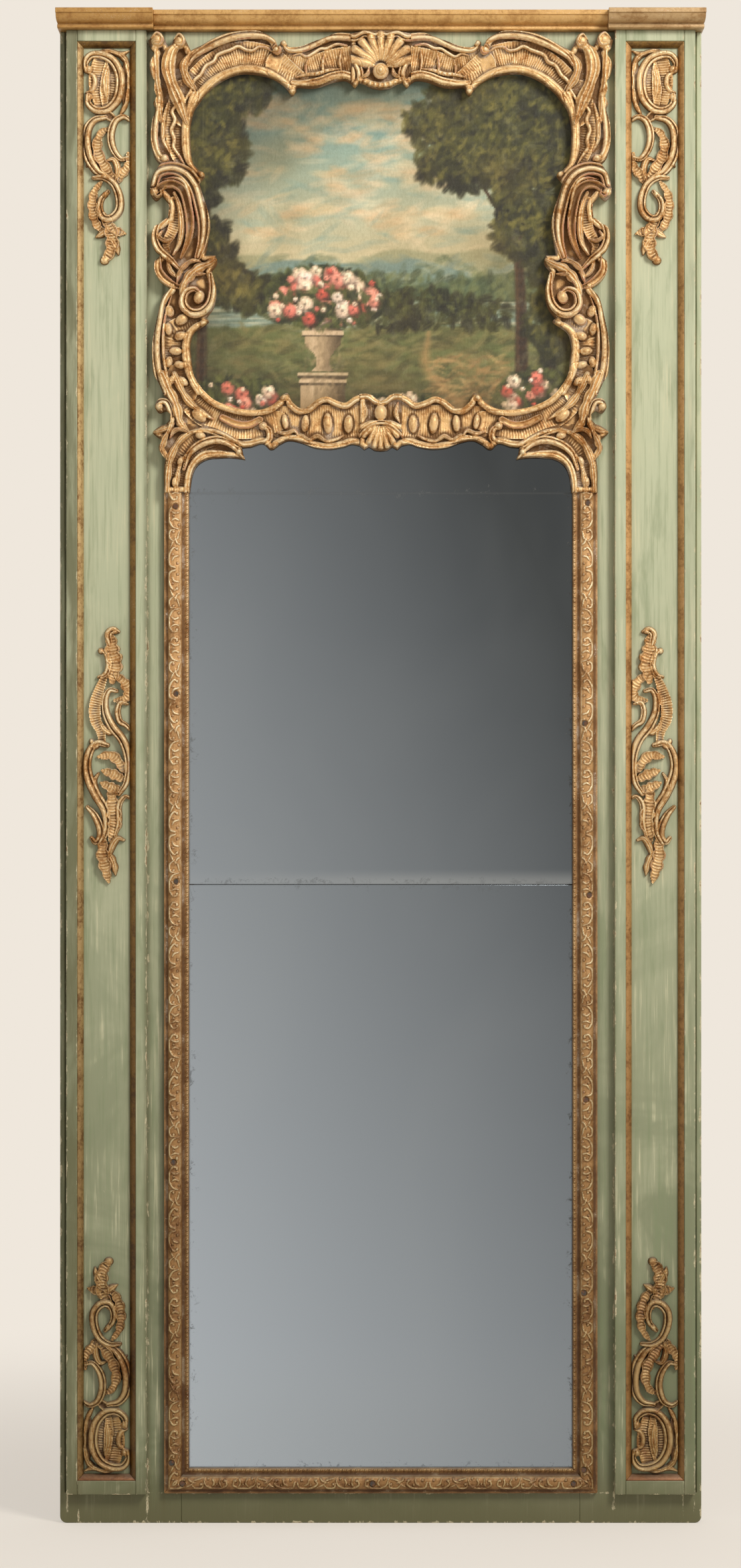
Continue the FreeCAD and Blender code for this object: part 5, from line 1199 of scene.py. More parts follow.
@material
def wood(nodes, shader, place, light, dark):
    """Bare old softwood, dry and grey-brown, with its grain upright."""
    grain = nodes.noise(nodes.stretched(place, 1.0, 1.0, 0.04), 150.0, 5.0, 0.6, 0.5)
    board = nodes.noise(nodes.stretched(place, 1.0, 1.0, 0.12), 14.0, 4.0, 0.5, 1.2)
    stain = nodes.noise(place, 7.0, 5.0, 0.65)
    colour = nodes.mix(nodes.step(grain, 0.35, 0.68), rgb(light), rgb(dark))
    colour = nodes.mix(nodes.times(nodes.step(board, 0.45, 0.7), 0.5), colour, rgb(dark))
    colour = nodes.mix(nodes.times(nodes.step(stain, 0.55, 0.78), 0.5), colour, rgb("4a3a28"))
    nodes.set(shader.inputs["Base Color"], dusted(nodes, place, colour))
    shader.inputs["Roughness"].default_value = 0.82
    bumped(nodes, shader, grain, 0.0006)


@material
def iron(nodes, shader, place):
    """Old iron, rusted in patches."""
    rust = nodes.noise(place, 160.0, 6.0, 0.7)
    colour = nodes.mix(nodes.step(rust, 0.42, 0.62), rgb("4d4a46"), rgb("6e4a33"))
    nodes.set(shader.inputs["Base Color"], colour)
    nodes.set(shader.inputs["Metallic"], nodes.step(rust, 0.42, 0.62, 0.85, 0.15))
    nodes.set(shader.inputs["Roughness"], nodes.step(rust, 0.4, 0.6, 0.45, 0.85))
    bumped(nodes, shader, rust, 0.0005)


@material
def silvering(nodes, shader, place, low, high):
    """An old plate between two heights: clouded silver with foxing along its edges, its colour a painted reflection
    that runs from bright at the foot to dark at the top right.
    """
    looks = bpy.context.scene.trumeau_looks
    x, _, z = nodes.split(place)
    # A painted reflection: the plate's colour runs from bright at the foot to dark at the top right.
    lean = nodes.plus(z, nodes.times(x, 2.0))
    reflection_fall = nodes.add("ShaderNodeMapRange", {"Value": lean, "From Min": -0.6, "From Max": 1.85}).outputs[0]
    soft = nodes.noise(nodes.stretched(place, 1.0, 1.0, 0.6), 3.2, 3.0, 0.5, 0.5)
    colour = nodes.mix(reflection_fall, (*looks.painted_reflection_foot, 1), (*looks.painted_reflection_top, 1))
    colour = nodes.mix(nodes.times(nodes.step(soft, 0.4, 0.7), 0.05), colour, rgb("b9c0c2"))
    inner = (MOULDING_HALF - MOULDING_WIDTH) * MM
    edge = nodes.math("SUBTRACT", inner, nodes.math("ABSOLUTE", x))
    for height in (low, PLATE_JOINT, high):
        edge = nodes.math("MINIMUM", edge, nodes.gap(z, height))
    spots = nodes.noise(place, 48.0, 7.0, 0.72, 0.8)
    fine = nodes.noise(place, 230.0, 5.0, 0.7)
    near = nodes.step(edge, 0.0, 0.03, 0.17, 0.0)
    joint = nodes.math("SUBTRACT", z, PLATE_JOINT * MM)
    above = nodes.times(nodes.step(joint, -0.002, 0.0), nodes.step(joint, 0.004, 0.022, 0.2, 0.0))
    near = nodes.most(near, above)
    foxed = nodes.step(nodes.plus(nodes.plus(nodes.times(spots, 0.7), nodes.times(fine, 0.3)), near), 0.7, 0.78)
    rim = nodes.step(edge, 0.0, 0.003, 0.5, 0.0)
    lost = nodes.most(foxed, rim)
    haze = nodes.times(nodes.step(joint, 0.0, 0.001), nodes.step(joint, 0.001, 0.024, 1.0, 0.0))
    haze = nodes.times(haze, nodes.step(nodes.plus(x, nodes.times(soft, 0.3)), -0.1, 0.2, 0.08, 0.3))
    colour = nodes.mix(haze, colour, rgb("c6cbcd"))
    colour = nodes.mix(nodes.times(lost, 0.5), colour, rgb("3f3e3a"))
    nodes.set(shader.inputs["Base Color"], colour)
    nodes.set(shader.inputs["Metallic"], nodes.step(lost, 0.0, 1.0, 1.0, 0.35))
    nodes.set(shader.inputs["Roughness"], nodes.step(lost, 0.0, 1.0, 0.07, 0.45))
    bumped(nodes, shader, nodes.noise(place, 3.5, 2.0, 0.4), 0.0012)


# How fast the linen's threads follow each other, as radians to a metre.
THREADS = 5200.0


@material
def canvas_paint(nodes, shader, place):
    """Oil paint on linen: the painting's colours, brush marks and a fine weave. The back is bare linen."""
    painting = nodes.add("ShaderNodeAttribute", attribute_name="painting").outputs["Color"]
    brush = nodes.noise(nodes.stretched(place, 1.0, 1.0, 0.5), 240.0, 5.0, 0.7, 1.2)
    cloud = nodes.noise(place, 34.0, 5.0, 0.65)
    darker = nodes.mix(1.0, painting, (0.55, 0.55, 0.5, 1), "MULTIPLY")
    colour = nodes.mix(nodes.step(brush, 0.3, 0.75, 0.0, 0.4), painting, darker)
    colour = nodes.mix(nodes.step(cloud, 0.5, 0.75, 0.0, 0.12), colour, rgb("b9b690"))
    facing = nodes.split(nodes.add("ShaderNodeNewGeometry").outputs["Normal"])[1]
    colour = nodes.mix(nodes.step(facing, 0.1, 0.4), colour, rgb("a3906b"))
    nodes.set(shader.inputs["Base Color"], colour)
    nodes.set(shader.inputs["Roughness"], nodes.step(brush, 0.3, 0.7, 0.5, 0.68))
    across, _, up = nodes.split(place)
    threads = nodes.plus(*[nodes.math("SINE", nodes.times(axis, THREADS)) for axis in (across, up)])
    weave = nodes.times(threads, 0.08)
    bumped(nodes, shader, nodes.plus(nodes.times(brush, 0.8), weave), 0.0004)


# ---------------------------------------------------------------- the painting

def sequence(*codes):
    """Colours for the painting, as they are written on screens."""
    return [np.array([int(code[i:i + 2], 16) / 255 for i in (0, 2, 4)]) for code in codes]


TONE_SPREAD = 0.05


class Painting:
    """Colours over a grid of points on the canvas, laid on with washes and daubs of a brush."""

    def __init__(self, x, z, rng):
        self.x, self.z, self.rng = x, z, rng
        self.colour = np.zeros((*x.shape, 3))

    def wash(self, mask, colour, strength=1.0):
        """Lays a colour over the canvas where the mask is set."""
        amount = (np.clip(mask, 0, 1) * strength)[..., None]
        self.colour = self.colour * (1 - amount) + np.asarray(colour) * amount

    def daub(self, x, z, length, width, turn, colour, opacity=0.8):
        """One touch of the brush, thicker at its start, with the bristles' streaks along it."""
        reach = max(length, width) * 1.1
        first_x, last_x = np.searchsorted(self.x[0], [x - reach, x + reach])
        first_z, last_z = np.searchsorted(self.z[:, 0], [z - reach, z + reach])
        if first_x == last_x or first_z == last_z:
            return
        part = slice(first_z, last_z), slice(first_x, last_x)
        dx, dz = self.x[part] - x, self.z[part] - z
        along = (dx * math.cos(turn) + dz * math.sin(turn)) / length
        across = (-dx * math.sin(turn) + dz * math.cos(turn)) / width
        body = np.clip(1.35 * (1 - along ** 2 - across ** 2), 0, 1)
        bristles = 0.82 + 0.18 * np.cos(across * 9 + self.rng.uniform(0, 6) + along * 2)
        amount = (body * bristles * opacity)[..., None]
        self.colour[part] = self.colour[part] * (1 - amount) + colour * amount

    def daubs(self, count, where, length, width, turn, colours, opacity=0.75, turn_spread=0.5):
        """Many touches at places that a function gives, in colours picked from a few."""
        for _ in range(count):
            x, z = where()
            colour = colours[self.rng.integers(len(colours))] * (1 + self.rng.normal(0, TONE_SPREAD))
            size = self.rng.uniform(0.7, 1.35)
            self.daub(x, z, length * size, width * size, turn + self.rng.normal(0, turn_spread),
                      np.clip(colour, 0, 1), opacity)

    def cluster(self, x, z, reach_x, reach_z):
        """A function that gives places thick in the middle of an oval and thin at its rim."""
        def where():
            """A place in the oval."""
            turn, reach = self.rng.uniform(0, 2 * math.pi), self.rng.uniform(0, 1) ** 0.55
            return x + reach_x * reach * math.cos(turn), z + reach_z * reach * math.sin(turn)
        return where


def paint_bush(art, masses, dark, light, count, touch):
    """Foliage in rounded masses: a dark body, and lighter leaves on the side that the light comes from."""
    for tones, shift, share, length, opacity in ((dark, 0, 1.0, touch * 1.7, 0.85), (light, -0.16, 0.86, touch, 0.6)):
        for mx, mz, rx, rz in masses:
            where = art.cluster(mx + shift * rx, mz - shift * rz, rx * share, rz * share)
            art.daubs(int(count * rx * rz / 3600), where, length, length * 0.48, 0.9, tones, opacity, 0.9)


def paint_blooms(art, where, count, size, tones):
    """Full roses: a ring of outer petals, an inner one and a shaded heart."""
    for _ in range(count):
        fx, fz = where()
        tone = tones[art.rng.integers(len(tones))]
        scale = size * art.rng.uniform(0.75, 1.2)
        art.daub(fx + 0.25 * scale, fz - 0.3 * scale, 1.15 * scale, 1.0 * scale, 0, tone * 0.5, 0.7)
        for ring, petals, shade in ((0.62, 7, 0.9), (0.34, 5, 1.04)):
            for petal in range(petals):
                turn = petal * 2 * math.pi / petals + art.rng.uniform(0, 0.7)
                lit = np.clip(tone * (shade + 0.13 * math.sin(turn + 0.6)), 0, 1)
                art.daub(fx + ring * scale * math.cos(turn), fz + ring * scale * math.sin(turn), 0.42 * scale,
                         0.3 * scale, turn + math.pi / 2, lit, 0.85)
        art.daub(fx, fz, 0.2 * scale, 0.17 * scale, 0, tone * 0.62, 0.8)


def paint_urn(art, middle, foot, scale):
    """A stone urn on a plinth, lit from the left."""
    stone = sequence("b3a98d", "80765c", "d3cab0", "4c4431")
    x, z = (art.x - middle) / scale, (art.z - foot) / scale
    belly = np.interp(z, [62, 70, 80, 94, 110, 120, 126, 130], [13, 7, 9, 21, 24, 17, 21, 22])
    plinth = (np.abs(x) < 27) & (z > 0) & (z < 56)
    cup = (np.abs(x) < belly) & (z > 62) & (z < 130)
    for shape in (plinth, cup):
        art.wash(shape, stone[0])
        art.wash(shape * np.clip((x + 2) / 22, 0, 1), stone[3], 0.8)
        art.wash(shape * np.clip(1 - np.abs(x + 12) / 6, 0, 1), stone[2], 0.7)
    for height, half in ((58, 31), (2, 33), (49, 29), (108, 25), (129, 24)):
        art.wash((np.abs(x) < half) & (np.abs(z - height) < 2.6), stone[2], 0.85)
        art.wash((np.abs(x) < half) & (np.abs(z - height + 3.4) < 1.2), stone[3], 0.8)
    art.daubs(160, art.cluster(middle, foot + 62 * scale, 26 * scale, 62 * scale), 8, 2.5, 1.3, stone[:2], 0.3)


def paint_landscape(x, z, rng):
    """A shady park by a lake, with tall trees, and an urn of roses on a plinth."""
    art = Painting(x, z, rng)
    low, high = 1572.0, 2106.0
    level = np.clip((z - low) / (high - low), 0, 1)
    wave = np.sin(x / 61.0) + 0.6 * np.sin(x / 27.0 + 1.3)

    sky_low, sky_high, cloud, warm = sequence("c2c6ab", "7fa6a6", "dcd8bf", "cdb994")
    art.colour[:] = sky_low
    art.wash(np.clip((level - 0.52) / 0.4, 0, 1), sky_high)
    for _ in range(46):
        centre = rng.uniform(-200, 120), rng.uniform(1880, 2080)
        art.daubs(9, art.cluster(*centre, 46, 12), 21, 7, 0.1, [cloud, warm, sky_low], 0.34, 0.3)
    art.daubs(240, lambda: (rng.uniform(-290, 200), rng.uniform(1850, 2100)), 24, 5, 0.1, [sky_high, cloud], 0.25, 0.3)

    far, near_hill, haze = sequence("7f9a96", "64785f", "a3ad92")
    art.wash((1846 + 14 * wave - z) / 5, haze)
    art.wash((1832 + 11 * np.sin(x / 83.0 + 2) + 6 * np.sin(x / 31.0) - z) / 4, far)
    art.daubs(260, lambda: (rng.uniform(-290, 290), rng.uniform(1804, 1844)), 15, 5, 0.15, [far, haze, near_hill],
              0.45)
    art.wash((1814 + 9 * np.sin(x / 52.0 + 4) - z) / 4, near_hill)
    art.daubs(620, lambda: (rng.uniform(-290, 290), rng.uniform(1770, 1820)), 9, 5, 0.8,
              sequence("4f5f45", "6b7a55", "3f4c36", "77855f"), 0.6)
    lake, glint = sequence("8fa69c", "c9cdb4")
    art.wash(np.clip((1780 - z) / 3, 0, 1) * np.clip((z - 1738 - 5 * wave) / 4, 0, 1), lake)
    art.daubs(240, lambda: (rng.uniform(-290, 290), rng.uniform(1742, 1778)), 26, 2.2, 0.0,
              [lake, glint, *sequence("6b837b", "5c7160")], 0.5, 0.05)

    ground = sequence("6f7c52", "5c6641", "83835a", "4b4f31", "8f9066")
    art.wash((1742 + 5 * wave - z) / 4, ground[0])
    art.daubs(1700, lambda: (rng.uniform(-295, 295), rng.uniform(1560, 1744)), 17, 5, 0.15, ground, 0.55, 0.35)
    art.wash(np.clip((1690 - z) / 120, 0, 1), sequence("3b3221")[0], 0.7)
    art.wash(np.clip(np.hypot((x - 40) / 330, (z - 1800) / 300) - 0.72, 0, 1) * 1.6, sequence("2c2717")[0], 0.75)
    path = 74 + 0.45 * (1700 - z) + 14 * np.sin(z / 21.0)
    art.wash((1 - np.abs(x - path) / (5 + 0.17 * np.clip(1738 - z, 0, 200))) * (z < 1736), sequence("b39c70")[0], 0.6)
    art.daubs(260, lambda: (rng.uniform(70, 190), rng.uniform(1585, 1700)), 13, 3, 0.1,
              sequence("a8946a", "85714d", "c1ae82"), 0.4)

    bark = sequence("33271a", "4b3a26", "6a563a", "261e14")
    trunks = (((206, 1640), (186, 1990), 13), ((190, 1880), (140, 1960), 5), ((192, 1850), (262, 1990), 6),
              ((246, 1620), (264, 1860), 8), ((-262, 1640), (-250, 1960), 11))
    for start, end, width in trunks:
        line = smooth_line((start, ((start[0] + end[0]) / 2 + rng.uniform(-9, 9), (start[1] + end[1]) / 2), end), 7)
        turn = math.atan2(end[1] - start[1], end[0] - start[0])
        for number, (px, pz) in enumerate(line):
            thick = width * (1 - 0.6 * number / len(line))
            art.daub(px, pz, 11, thick, turn, bark[number % 2], 0.9)
            art.daub(px - thick * 0.45, pz, 9, thick * 0.3, turn, bark[2], 0.5)
    right = ((196, 2040, 110, 66), (120, 1986, 70, 46), (238, 1950, 76, 76), (170, 2000, 76, 50), (262, 1850, 50, 64),
             (84, 2040, 54, 30), (150, 2076, 80, 30), (262, 1746, 52, 56), (206, 1880, 44, 40))
    left = ((-262, 2050, 62, 66), (-280, 1960, 44, 70), (-214, 2086, 60, 30), (-236, 1990, 42, 44),
            (-270, 1850, 56, 60), (-226, 1800, 56, 34), (-176, 1788, 40, 24))
    deep = sequence("2c2d18", "373a1d", "232313", "43461f")
    paint_bush(art, left + right, deep, sequence("54592f", "6b6f3b", "454a27", "81824a", "33371d"), 210, 8.5)
    paint_bush(art, ((64, 1770, 60, 30), (10, 1764, 50, 26), (140, 1760, 50, 26)), deep,
               sequence("4d5631", "687145", "3a4127"), 150, 7)

    paint_urn(art, -84, 1604, 1.2)
    leaves = sequence("3b4226", "525b33", "667045", "2a2f1b")
    roses = sequence("d98d80", "e9dfcc", "c56f61", "f0e8da", "e3a899", "ece0cb")
    for cx, cz, rx, rz, green, flowers, size in (
        (-84, 1786, 84, 44, 620, 34, 15), (-84, 1770, 96, 26, 200, 12, 12), (-214, 1630, 70, 40, 560, 16, 12),
        (24, 1612, 74, 30, 460, 20, 12), (232, 1636, 66, 44, 560, 14, 11), (126, 1588, 70, 18, 240, 8, 10),
    ):
        art.daubs(green, art.cluster(cx, cz, rx, rz), 10, 4, 1.2, leaves, 0.8, 1.0)
        paint_blooms(art, art.cluster(cx, cz + 3, rx * 0.82, rz * 0.8), flowers, size, roses)
        paint_blooms(art, art.cluster(cx, cz, rx, rz), flowers, size * 0.4, roses)

    age = blurred(rng.standard_normal(x.shape), np.ones(x.shape), 12)
    age = age / max(age.std(), 1e-6)
    art.wash(np.clip(age * 0.12 + 0.08, 0, 0.3), sequence("7c6f48")[0])
    art.colour = np.clip(1.12 * (art.colour * (1.06, 0.985, 0.95)) ** 1.25, 0, 1)
    seam = np.abs(np.abs(x) - 258 - 1.2 * np.sin(z / 40.0))
    art.wash(np.clip(1 - seam / 1.6, 0, 1), sequence("8a8460")[0], 0.3)
    return art.colour


def canvas_piece(step):
    """The stretched canvas: one closed sheet, finely divided where it is seen, and painted on its front."""
    margin = 12.0
    seen = (-OPENING_HALF - margin, OPENING_HALF + margin)
    left, right = max(seen[0], CANVAS_LOW[0] + 1), min(seen[1], CANVAS_HIGH[0] - 1)
    across = np.unique([CANVAS_LOW[0], *np.arange(left, right, step), CANVAS_HIGH[0]])
    upward = np.unique([CANVAS_LOW[2], *np.arange(CANVAS_LOW[2] + 1, CANVAS_HIGH[2] - 1, step), CANVAS_HIGH[2]])
    x, z = np.meshgrid(across, upward)
    rng = np.random.default_rng(41)
    colour = paint_landscape(x, z, rng)
    rows, columns = x.shape
    sag = 0.35 * blurred(rng.standard_normal(x.shape), np.ones(x.shape), 18)
    sag = np.clip(sag / max(np.abs(sag).max(), 1e-6), -1, 1) * 0.4
    rim = np.minimum(np.minimum(x - CANVAS_LOW[0], CANVAS_HIGH[0] - x),
                     np.minimum(z - CANVAS_LOW[2], CANVAS_HIGH[2] - z))
    front = CANVAS_LOW[1] + 0.45 + sag * np.clip(rim / 30, 0, 1)
    total = rows * columns
    index = np.arange(total).reshape(x.shape)
    points = np.column_stack([x.ravel(), front.ravel(), z.ravel()])
    faces = np.column_stack([corner.ravel() for corner in (index[:-1, :-1], index[:-1, 1:], index[1:, 1:],
                                                           index[1:, :-1])])
    border = np.concatenate([index[0, :], index[1:, -1], index[-1, -2::-1], index[-2:0:-1, 0]])
    behind = points[border] * (1, 0, 1) + (0, CANVAS_HIGH[1], 0)
    places = np.arange(len(border)) + total
    walls = np.column_stack([np.roll(border, -1), border, places, np.roll(places, -1)])
    piece = mesh_piece("painted_canvas", np.vstack([points, behind]), np.vstack([faces, walls]),
                       canvas_paint("Painted canvas"), ["canvas"])
    close_back(piece.data)
    linear = np.where(colour <= 0.04045, colour / 12.92, ((colour + 0.055) / 1.055) ** 2.4).reshape(-1, 3)
    values = np.ones((len(piece.data.vertices), 4), np.float32) * 0.4
    values[:total, :3] = np.clip(linear, 0, 1)
    values[:, 3] = 1
    piece.data.attributes.new("painting", "FLOAT_COLOR", "POINT").data.foreach_set("color", values.ravel())
    return piece


# ---------------------------------------------------------------- settings, operators and the panel

class TRUMEAU_looks(bpy.types.PropertyGroup):
    paint: bpy.props.FloatVectorProperty(
        name="Paint", description="Colour of the painted joinery at the top", subtype="COLOR", size=3,
        default=rgb("b9be9e")[:3], min=0, max=1)
    gold: bpy.props.FloatVectorProperty(
        name="Gold", description="Colour of the gilding", subtype="COLOR", size=3, default=rgb("e2b87c")[:3], min=0,
        max=1)
    bole: bpy.props.FloatVectorProperty(
        name="Bole", description="Colour of the clay under the gold", subtype="COLOR", size=3,
        default=rgb("b97355")[:3], min=0, max=1)
    painted_reflection_foot: bpy.props.FloatVectorProperty(
        name="Painted reflection at the foot", description="What the mirror gives back at its foot", subtype="COLOR", size=3,
        default=rgb("bac6d3")[:3], min=0, max=1)
    painted_reflection_top: bpy.props.FloatVectorProperty(
        name="Painted reflection at the top", description="What the mirror gives back at its top", subtype="COLOR", size=3,
        default=rgb("43484c")[:3], min=0, max=1)
    wear: bpy.props.FloatProperty(
        name="Wear", description="How far the gold has worn to the bole", subtype="FACTOR", default=0.5, min=0.3,
        max=0.7)


class TRUMEAU_sizes(bpy.types.PropertyGroup):
    carving_step: bpy.props.FloatProperty(
        name="Carving step", description="Distance between the points of the carving", subtype="DISTANCE",
        unit="LENGTH", default=0.9 * MM, min=0.6 * MM, max=4 * MM)
    canvas_step: bpy.props.FloatProperty(
        name="Canvas step", description="Distance between the points of the painting", subtype="DISTANCE",
        unit="LENGTH", default=2.1 * MM, min=1.9 * MM, max=8 * MM)
    eased_edge: bpy.props.FloatProperty(
        name="Eased edge", description="Radius of the joinery's worn edges", subtype="DISTANCE", unit="LENGTH",
        default=1.1 * MM, min=0.2 * MM, max=2 * MM)
    bead_spacing: bpy.props.FloatProperty(
        name="Bead spacing", description="From one bead of the glass's moulding to the next", subtype="DISTANCE",
        unit="LENGTH", default=6.4 * MM, min=4 * MM, max=12 * MM)


class TRUMEAU_OT_joinery(bpy.types.Operator):
    """Eases the edges of the ground panel and the pilasters and paints them"""
    bl_idname = "trumeau.joinery"
    bl_label = "Painted joinery"

    def execute(self, context):
        radius = context.scene.trumeau_sizes.eased_edge / MM
        boards = ["left_stile", "right_stile", "bottom_rail", "middle_rail", "top_rail"]
        boards += [f"{side}_pilaster_{part}" for side in SIDES
                   for part in ("outer_stile", "inner_stile", "head", "foot", "field")]
        for board in boards:
            softened(board, "painted_" + board, paintwork("Green paint"), radius)
        return {"FINISHED"}


class TRUMEAU_OT_gilt_strips(bpy.types.Operator):
    """Gilds the narrow mouldings round the pilasters' fields, in lit and shaded tones of one gilding"""
    bl_idname = "trumeau.gilt_strips"
    bl_label = "Gilt strips"

    def execute(self, context):
        # One gilding in lit and shaded copies: painted light on the pale and warm strips, a half-lit tone on the dull
        # ones, painted shade on the dark ones. The rubbed bottoms show more bole.
        tones = {"pale": ("Pale leaf", 0.02, rgb("ba9c69"), rgb("ead6a8"), rgb("7a5325")),
                 "dark": ("Dark leaf", 0.02, rgb("86652f"), rgb("b08b4c"), rgb("5a3f1d")),
                 "warm": ("Warm leaf", 0.02, rgb("c99b62"), rgb("f0cf96"), rgb("8f6232")),
                 "dull": ("Dull leaf", 0.02, rgb("ab8450"), rgb("d0ad78"), rgb("7d5a2e")),
                 "rubbed": ("Rubbed leaf", 0.06, rgb("b5805a"), rgb("d6a884"), rgb("8f5d3c"))}
        chosen = {"left_outer": "pale", "left_top": "dark", "left_inner": "dark", "left_bottom": "rubbed",
                  "right_outer": "dull", "right_top": "dark", "right_inner": "warm", "right_bottom": "rubbed"}
        for place, tone in chosen.items():
            side, edge = place.split("_")
            name, wear, gold, burnish_and_highlight, deep = tones[tone]
            finish = gilding(name, wear, gold, burnish_and_highlight, deep, plain=True, metallic=0.4)
            softened(f"{side}_gilt_{edge}", f"{side}_gilt_strip_{edge}", finish, 0.5)
        return {"FINISHED"}


class TRUMEAU_OT_cornice(bpy.types.Operator):
    """Eases and gilds the three lengths of the cornice"""
    bl_idname = "trumeau.cornice"
    bl_label = "Cornice"

    def execute(self, context):
        tones = {"left": ("b88c4d", "d2b57e", "9a6b33"), "middle": ("cda263", "ead09a", "ac7f45"),
                 "right": ("b69669", "d4be98", "957043")}
        for part, codes in tones.items():
            finish = gilding(f"{part.capitalize()} cornice leaf", 0.05, *[rgb(code) for code in codes], plain=True,
                             metallic=0.25)
            softened(f"{part}_cornice", f"gilt_cornice_{part}", finish, 0.6)
        return {"FINISHED"}


class TRUMEAU_OT_cartouche(bpy.types.Operator):
    """Carves the boards of the rococo cartouche round the canvas"""
    bl_idname = "trumeau.cartouche"
    bl_label = "Carved cartouche"

    def execute(self, context):
        step = context.scene.trumeau_sizes.carving_step / MM
        boards = (("cartouche_top", TOP_OUTLINE), ("cartouche_side", SIDE_OUTLINE), ("cartouche_foot", FOOT_OUTLINE),
                  ("mirror_corner", CORNER_OUTLINE))
        for number, (name, outline) in enumerate(boards):
            for side in SIDES:
                board_piece(f"carved_{side}_{name}", outline, carve_half, f"{side}_{name}",
                            11 + 2 * number + (side == "left"), step, side == "left")
        board_piece("carved_crest_shell", both_sides(CREST_HALF), carve_crest, "crest_shell", 31, step)
        board_piece("carved_foot_shell", both_sides(FOOT_SHELL_HALF), carve_foot_shell, "foot_shell", 32, step)
        return {"FINISHED"}


class TRUMEAU_OT_ornaments(bpy.types.Operator):
    """Carves the pilasters' ornaments, the lower ones the upper ones turned half round"""
    bl_idname = "trumeau.ornaments"
    bl_label = "Pilaster ornaments"

    def execute(self, context):
        step = context.scene.trumeau_sizes.carving_step / MM

        def upright(u, w):
            """Where the upper and middle ornaments' points are."""
            return FIELD_MIDDLE + u, w

        def turned(u, w):
            """The same, turned half round for the lower ornaments."""
            return FIELD_MIDDLE - u, 2 * FIELD_CENTRE - w

        for number, side in enumerate(SIDES):
            for part, strokes, eggs, place in (("upper", UPPER_STROKES, UPPER_EGGS, upright),
                                               ("middle", MIDDLE_STROKES, MIDDLE_EGGS, upright),
                                               ("lower", UPPER_STROKES, UPPER_EGGS, turned)):
                ornament_piece(f"carved_{side}_{part}_ornament", strokes, eggs, place, f"{side}_{part}_ornament",
                               51 + number, side == "right", step)
        return {"FINISHED"}


class TRUMEAU_OT_glass_moulding(bpy.types.Operator):
    """Carves the moulding round the glass, with its beads and its screws"""
    bl_idname = "trumeau.glass_moulding"
    bl_label = "Glass's moulding"

    def execute(self, context):
        sizes = context.scene.trumeau_sizes
        step = sizes.carving_step / MM
        foot = MOULDING_LOW[2]
        length = MOULDING_END - foot
        sunk = {side: [(MOULDING_HALF - abs(x) if side != "bottom" else MOULDING_HALF + x, z - foot)
                       for x, z in places] for side, places in SCREWS.items()}

        def placed(u, w):
            """Where the moulding's points are."""
            return u - MOULDING_HALF, w + foot

        for side in SIDES:
            moulding_piece(f"carved_mirror_moulding_{side}", f"mirror_moulding_{side}", length, False, placed,
                           sunk[side], step, 61 + (side == "right"), mirrored=side == "right")
        moulding_piece("carved_mirror_moulding_bottom", "mirror_moulding_bottom", 2 * MOULDING_HALF, True, placed,
                       sunk["bottom"], step, 63, upright=False)
        row = MOULDING_HALF - MOULDING_WIDTH * BEAD_SHARE
        front = -(GROUND_FRONT + SECTION_RISE * BEAD_LEVEL)
        inner = foot + MOULDING_WIDTH * BEAD_SHARE
        top = MOULDING_END - BEADS_BELOW
        corners = [(-row, front, top), (-row, front, inner), (row, front, inner), (row, front, top)]
        leaf_gold = gilding("Bead leaf", -0.02, rgb("c9a878"), rgb("f0dfb8"), rgb("8b6436"), plain=True, metallic=0.4)
        repeated("moulding_beads", corners, [(0, 1), (1, 2), (2, 3)], "bead", sizes.bead_spacing / MM, BEAD_RADIUS,
                 leaf_gold)
        heads = []
        for side, places in SCREWS.items():
            for (x, z), (u, w) in zip(places, sunk[side]):
                rise = section_rise((w if side == "bottom" else u) / MOULDING_WIDTH)
                heads.append((x, -(GROUND_FRONT + rise - SCREW_SINK / 2), z))
        repeated("moulding_screws", heads, [], "screw", 1.0, SCREW_RADIUS, iron("Rusted iron"), 0.04)
        return {"FINISHED"}


class TRUMEAU_OT_plates(bpy.types.Operator):
    """Silvers the two mirror plates"""
    bl_idname = "trumeau.plates"
    bl_label = "Mirror plates"

    def execute(self, context):
        low = MOULDING_LOW[2] + MOULDING_WIDTH
        finish = silvering("Old silvering", low, MOULDING_END)
        for plate in ("lower", "upper"):
            softened(f"{plate}_glass", f"{plate}_plate", finish, 0.6)
        return {"FINISHED"}


class TRUMEAU_OT_canvas(bpy.types.Operator):
    """Paints the canvas on its stretcher"""
    bl_idname = "trumeau.canvas"
    bl_label = "Painted canvas"

    def execute(self, context):
        piece = canvas_piece(context.scene.trumeau_sizes.canvas_step / MM)
        for bar in ("stretcher_left", "stretcher_right", "stretcher_bottom", "stretcher_top", "stretcher_cross_bar",
                    "stretcher_blocks"):
            softened(bar, "wooden_" + bar, wood("Stretcher wood", "a98a5f", "7c603c"),
                                 BACK_EDGE)
        return {"FINISHED"}


class TRUMEAU_OT_back(bpy.types.Operator):
    """Finishes the back boards, the battens and the hanging irons"""
    bl_idname = "trumeau.back"
    bl_label = "Back"

    def execute(self, context):
        for board in ("lower_back_board", "middle_back_board", "upper_back_board"):
            softened(board, "wooden_" + board, wood("Board wood", "9b7d55", "6a5033"),
                     BACK_EDGE)
        softened("battens", "wooden_battens", wood("Batten wood", "a5875c", "735838"), 1.0)
        softened("hanging_irons", "iron_hangers", iron("Rusted iron"), 0.5)
        return {"FINISHED"}


# The studio, in metres: half the floor's side, the key light and what it points at, and the camera's place.
FLOOR_HALF = 9.0
BACKGROUND = rgb("efe7dc")
KEY_PLACE = (2.3, -3.5, 3.9)
KEY_TARGET = (0, 0, 1.2)
KEY_SIZE = (1.1, 1.6)
KEY_WATTS = 165
CAMERA_PLACE = (-0.0149, -6.375, 1.0765)
CAMERA_LENS = 100


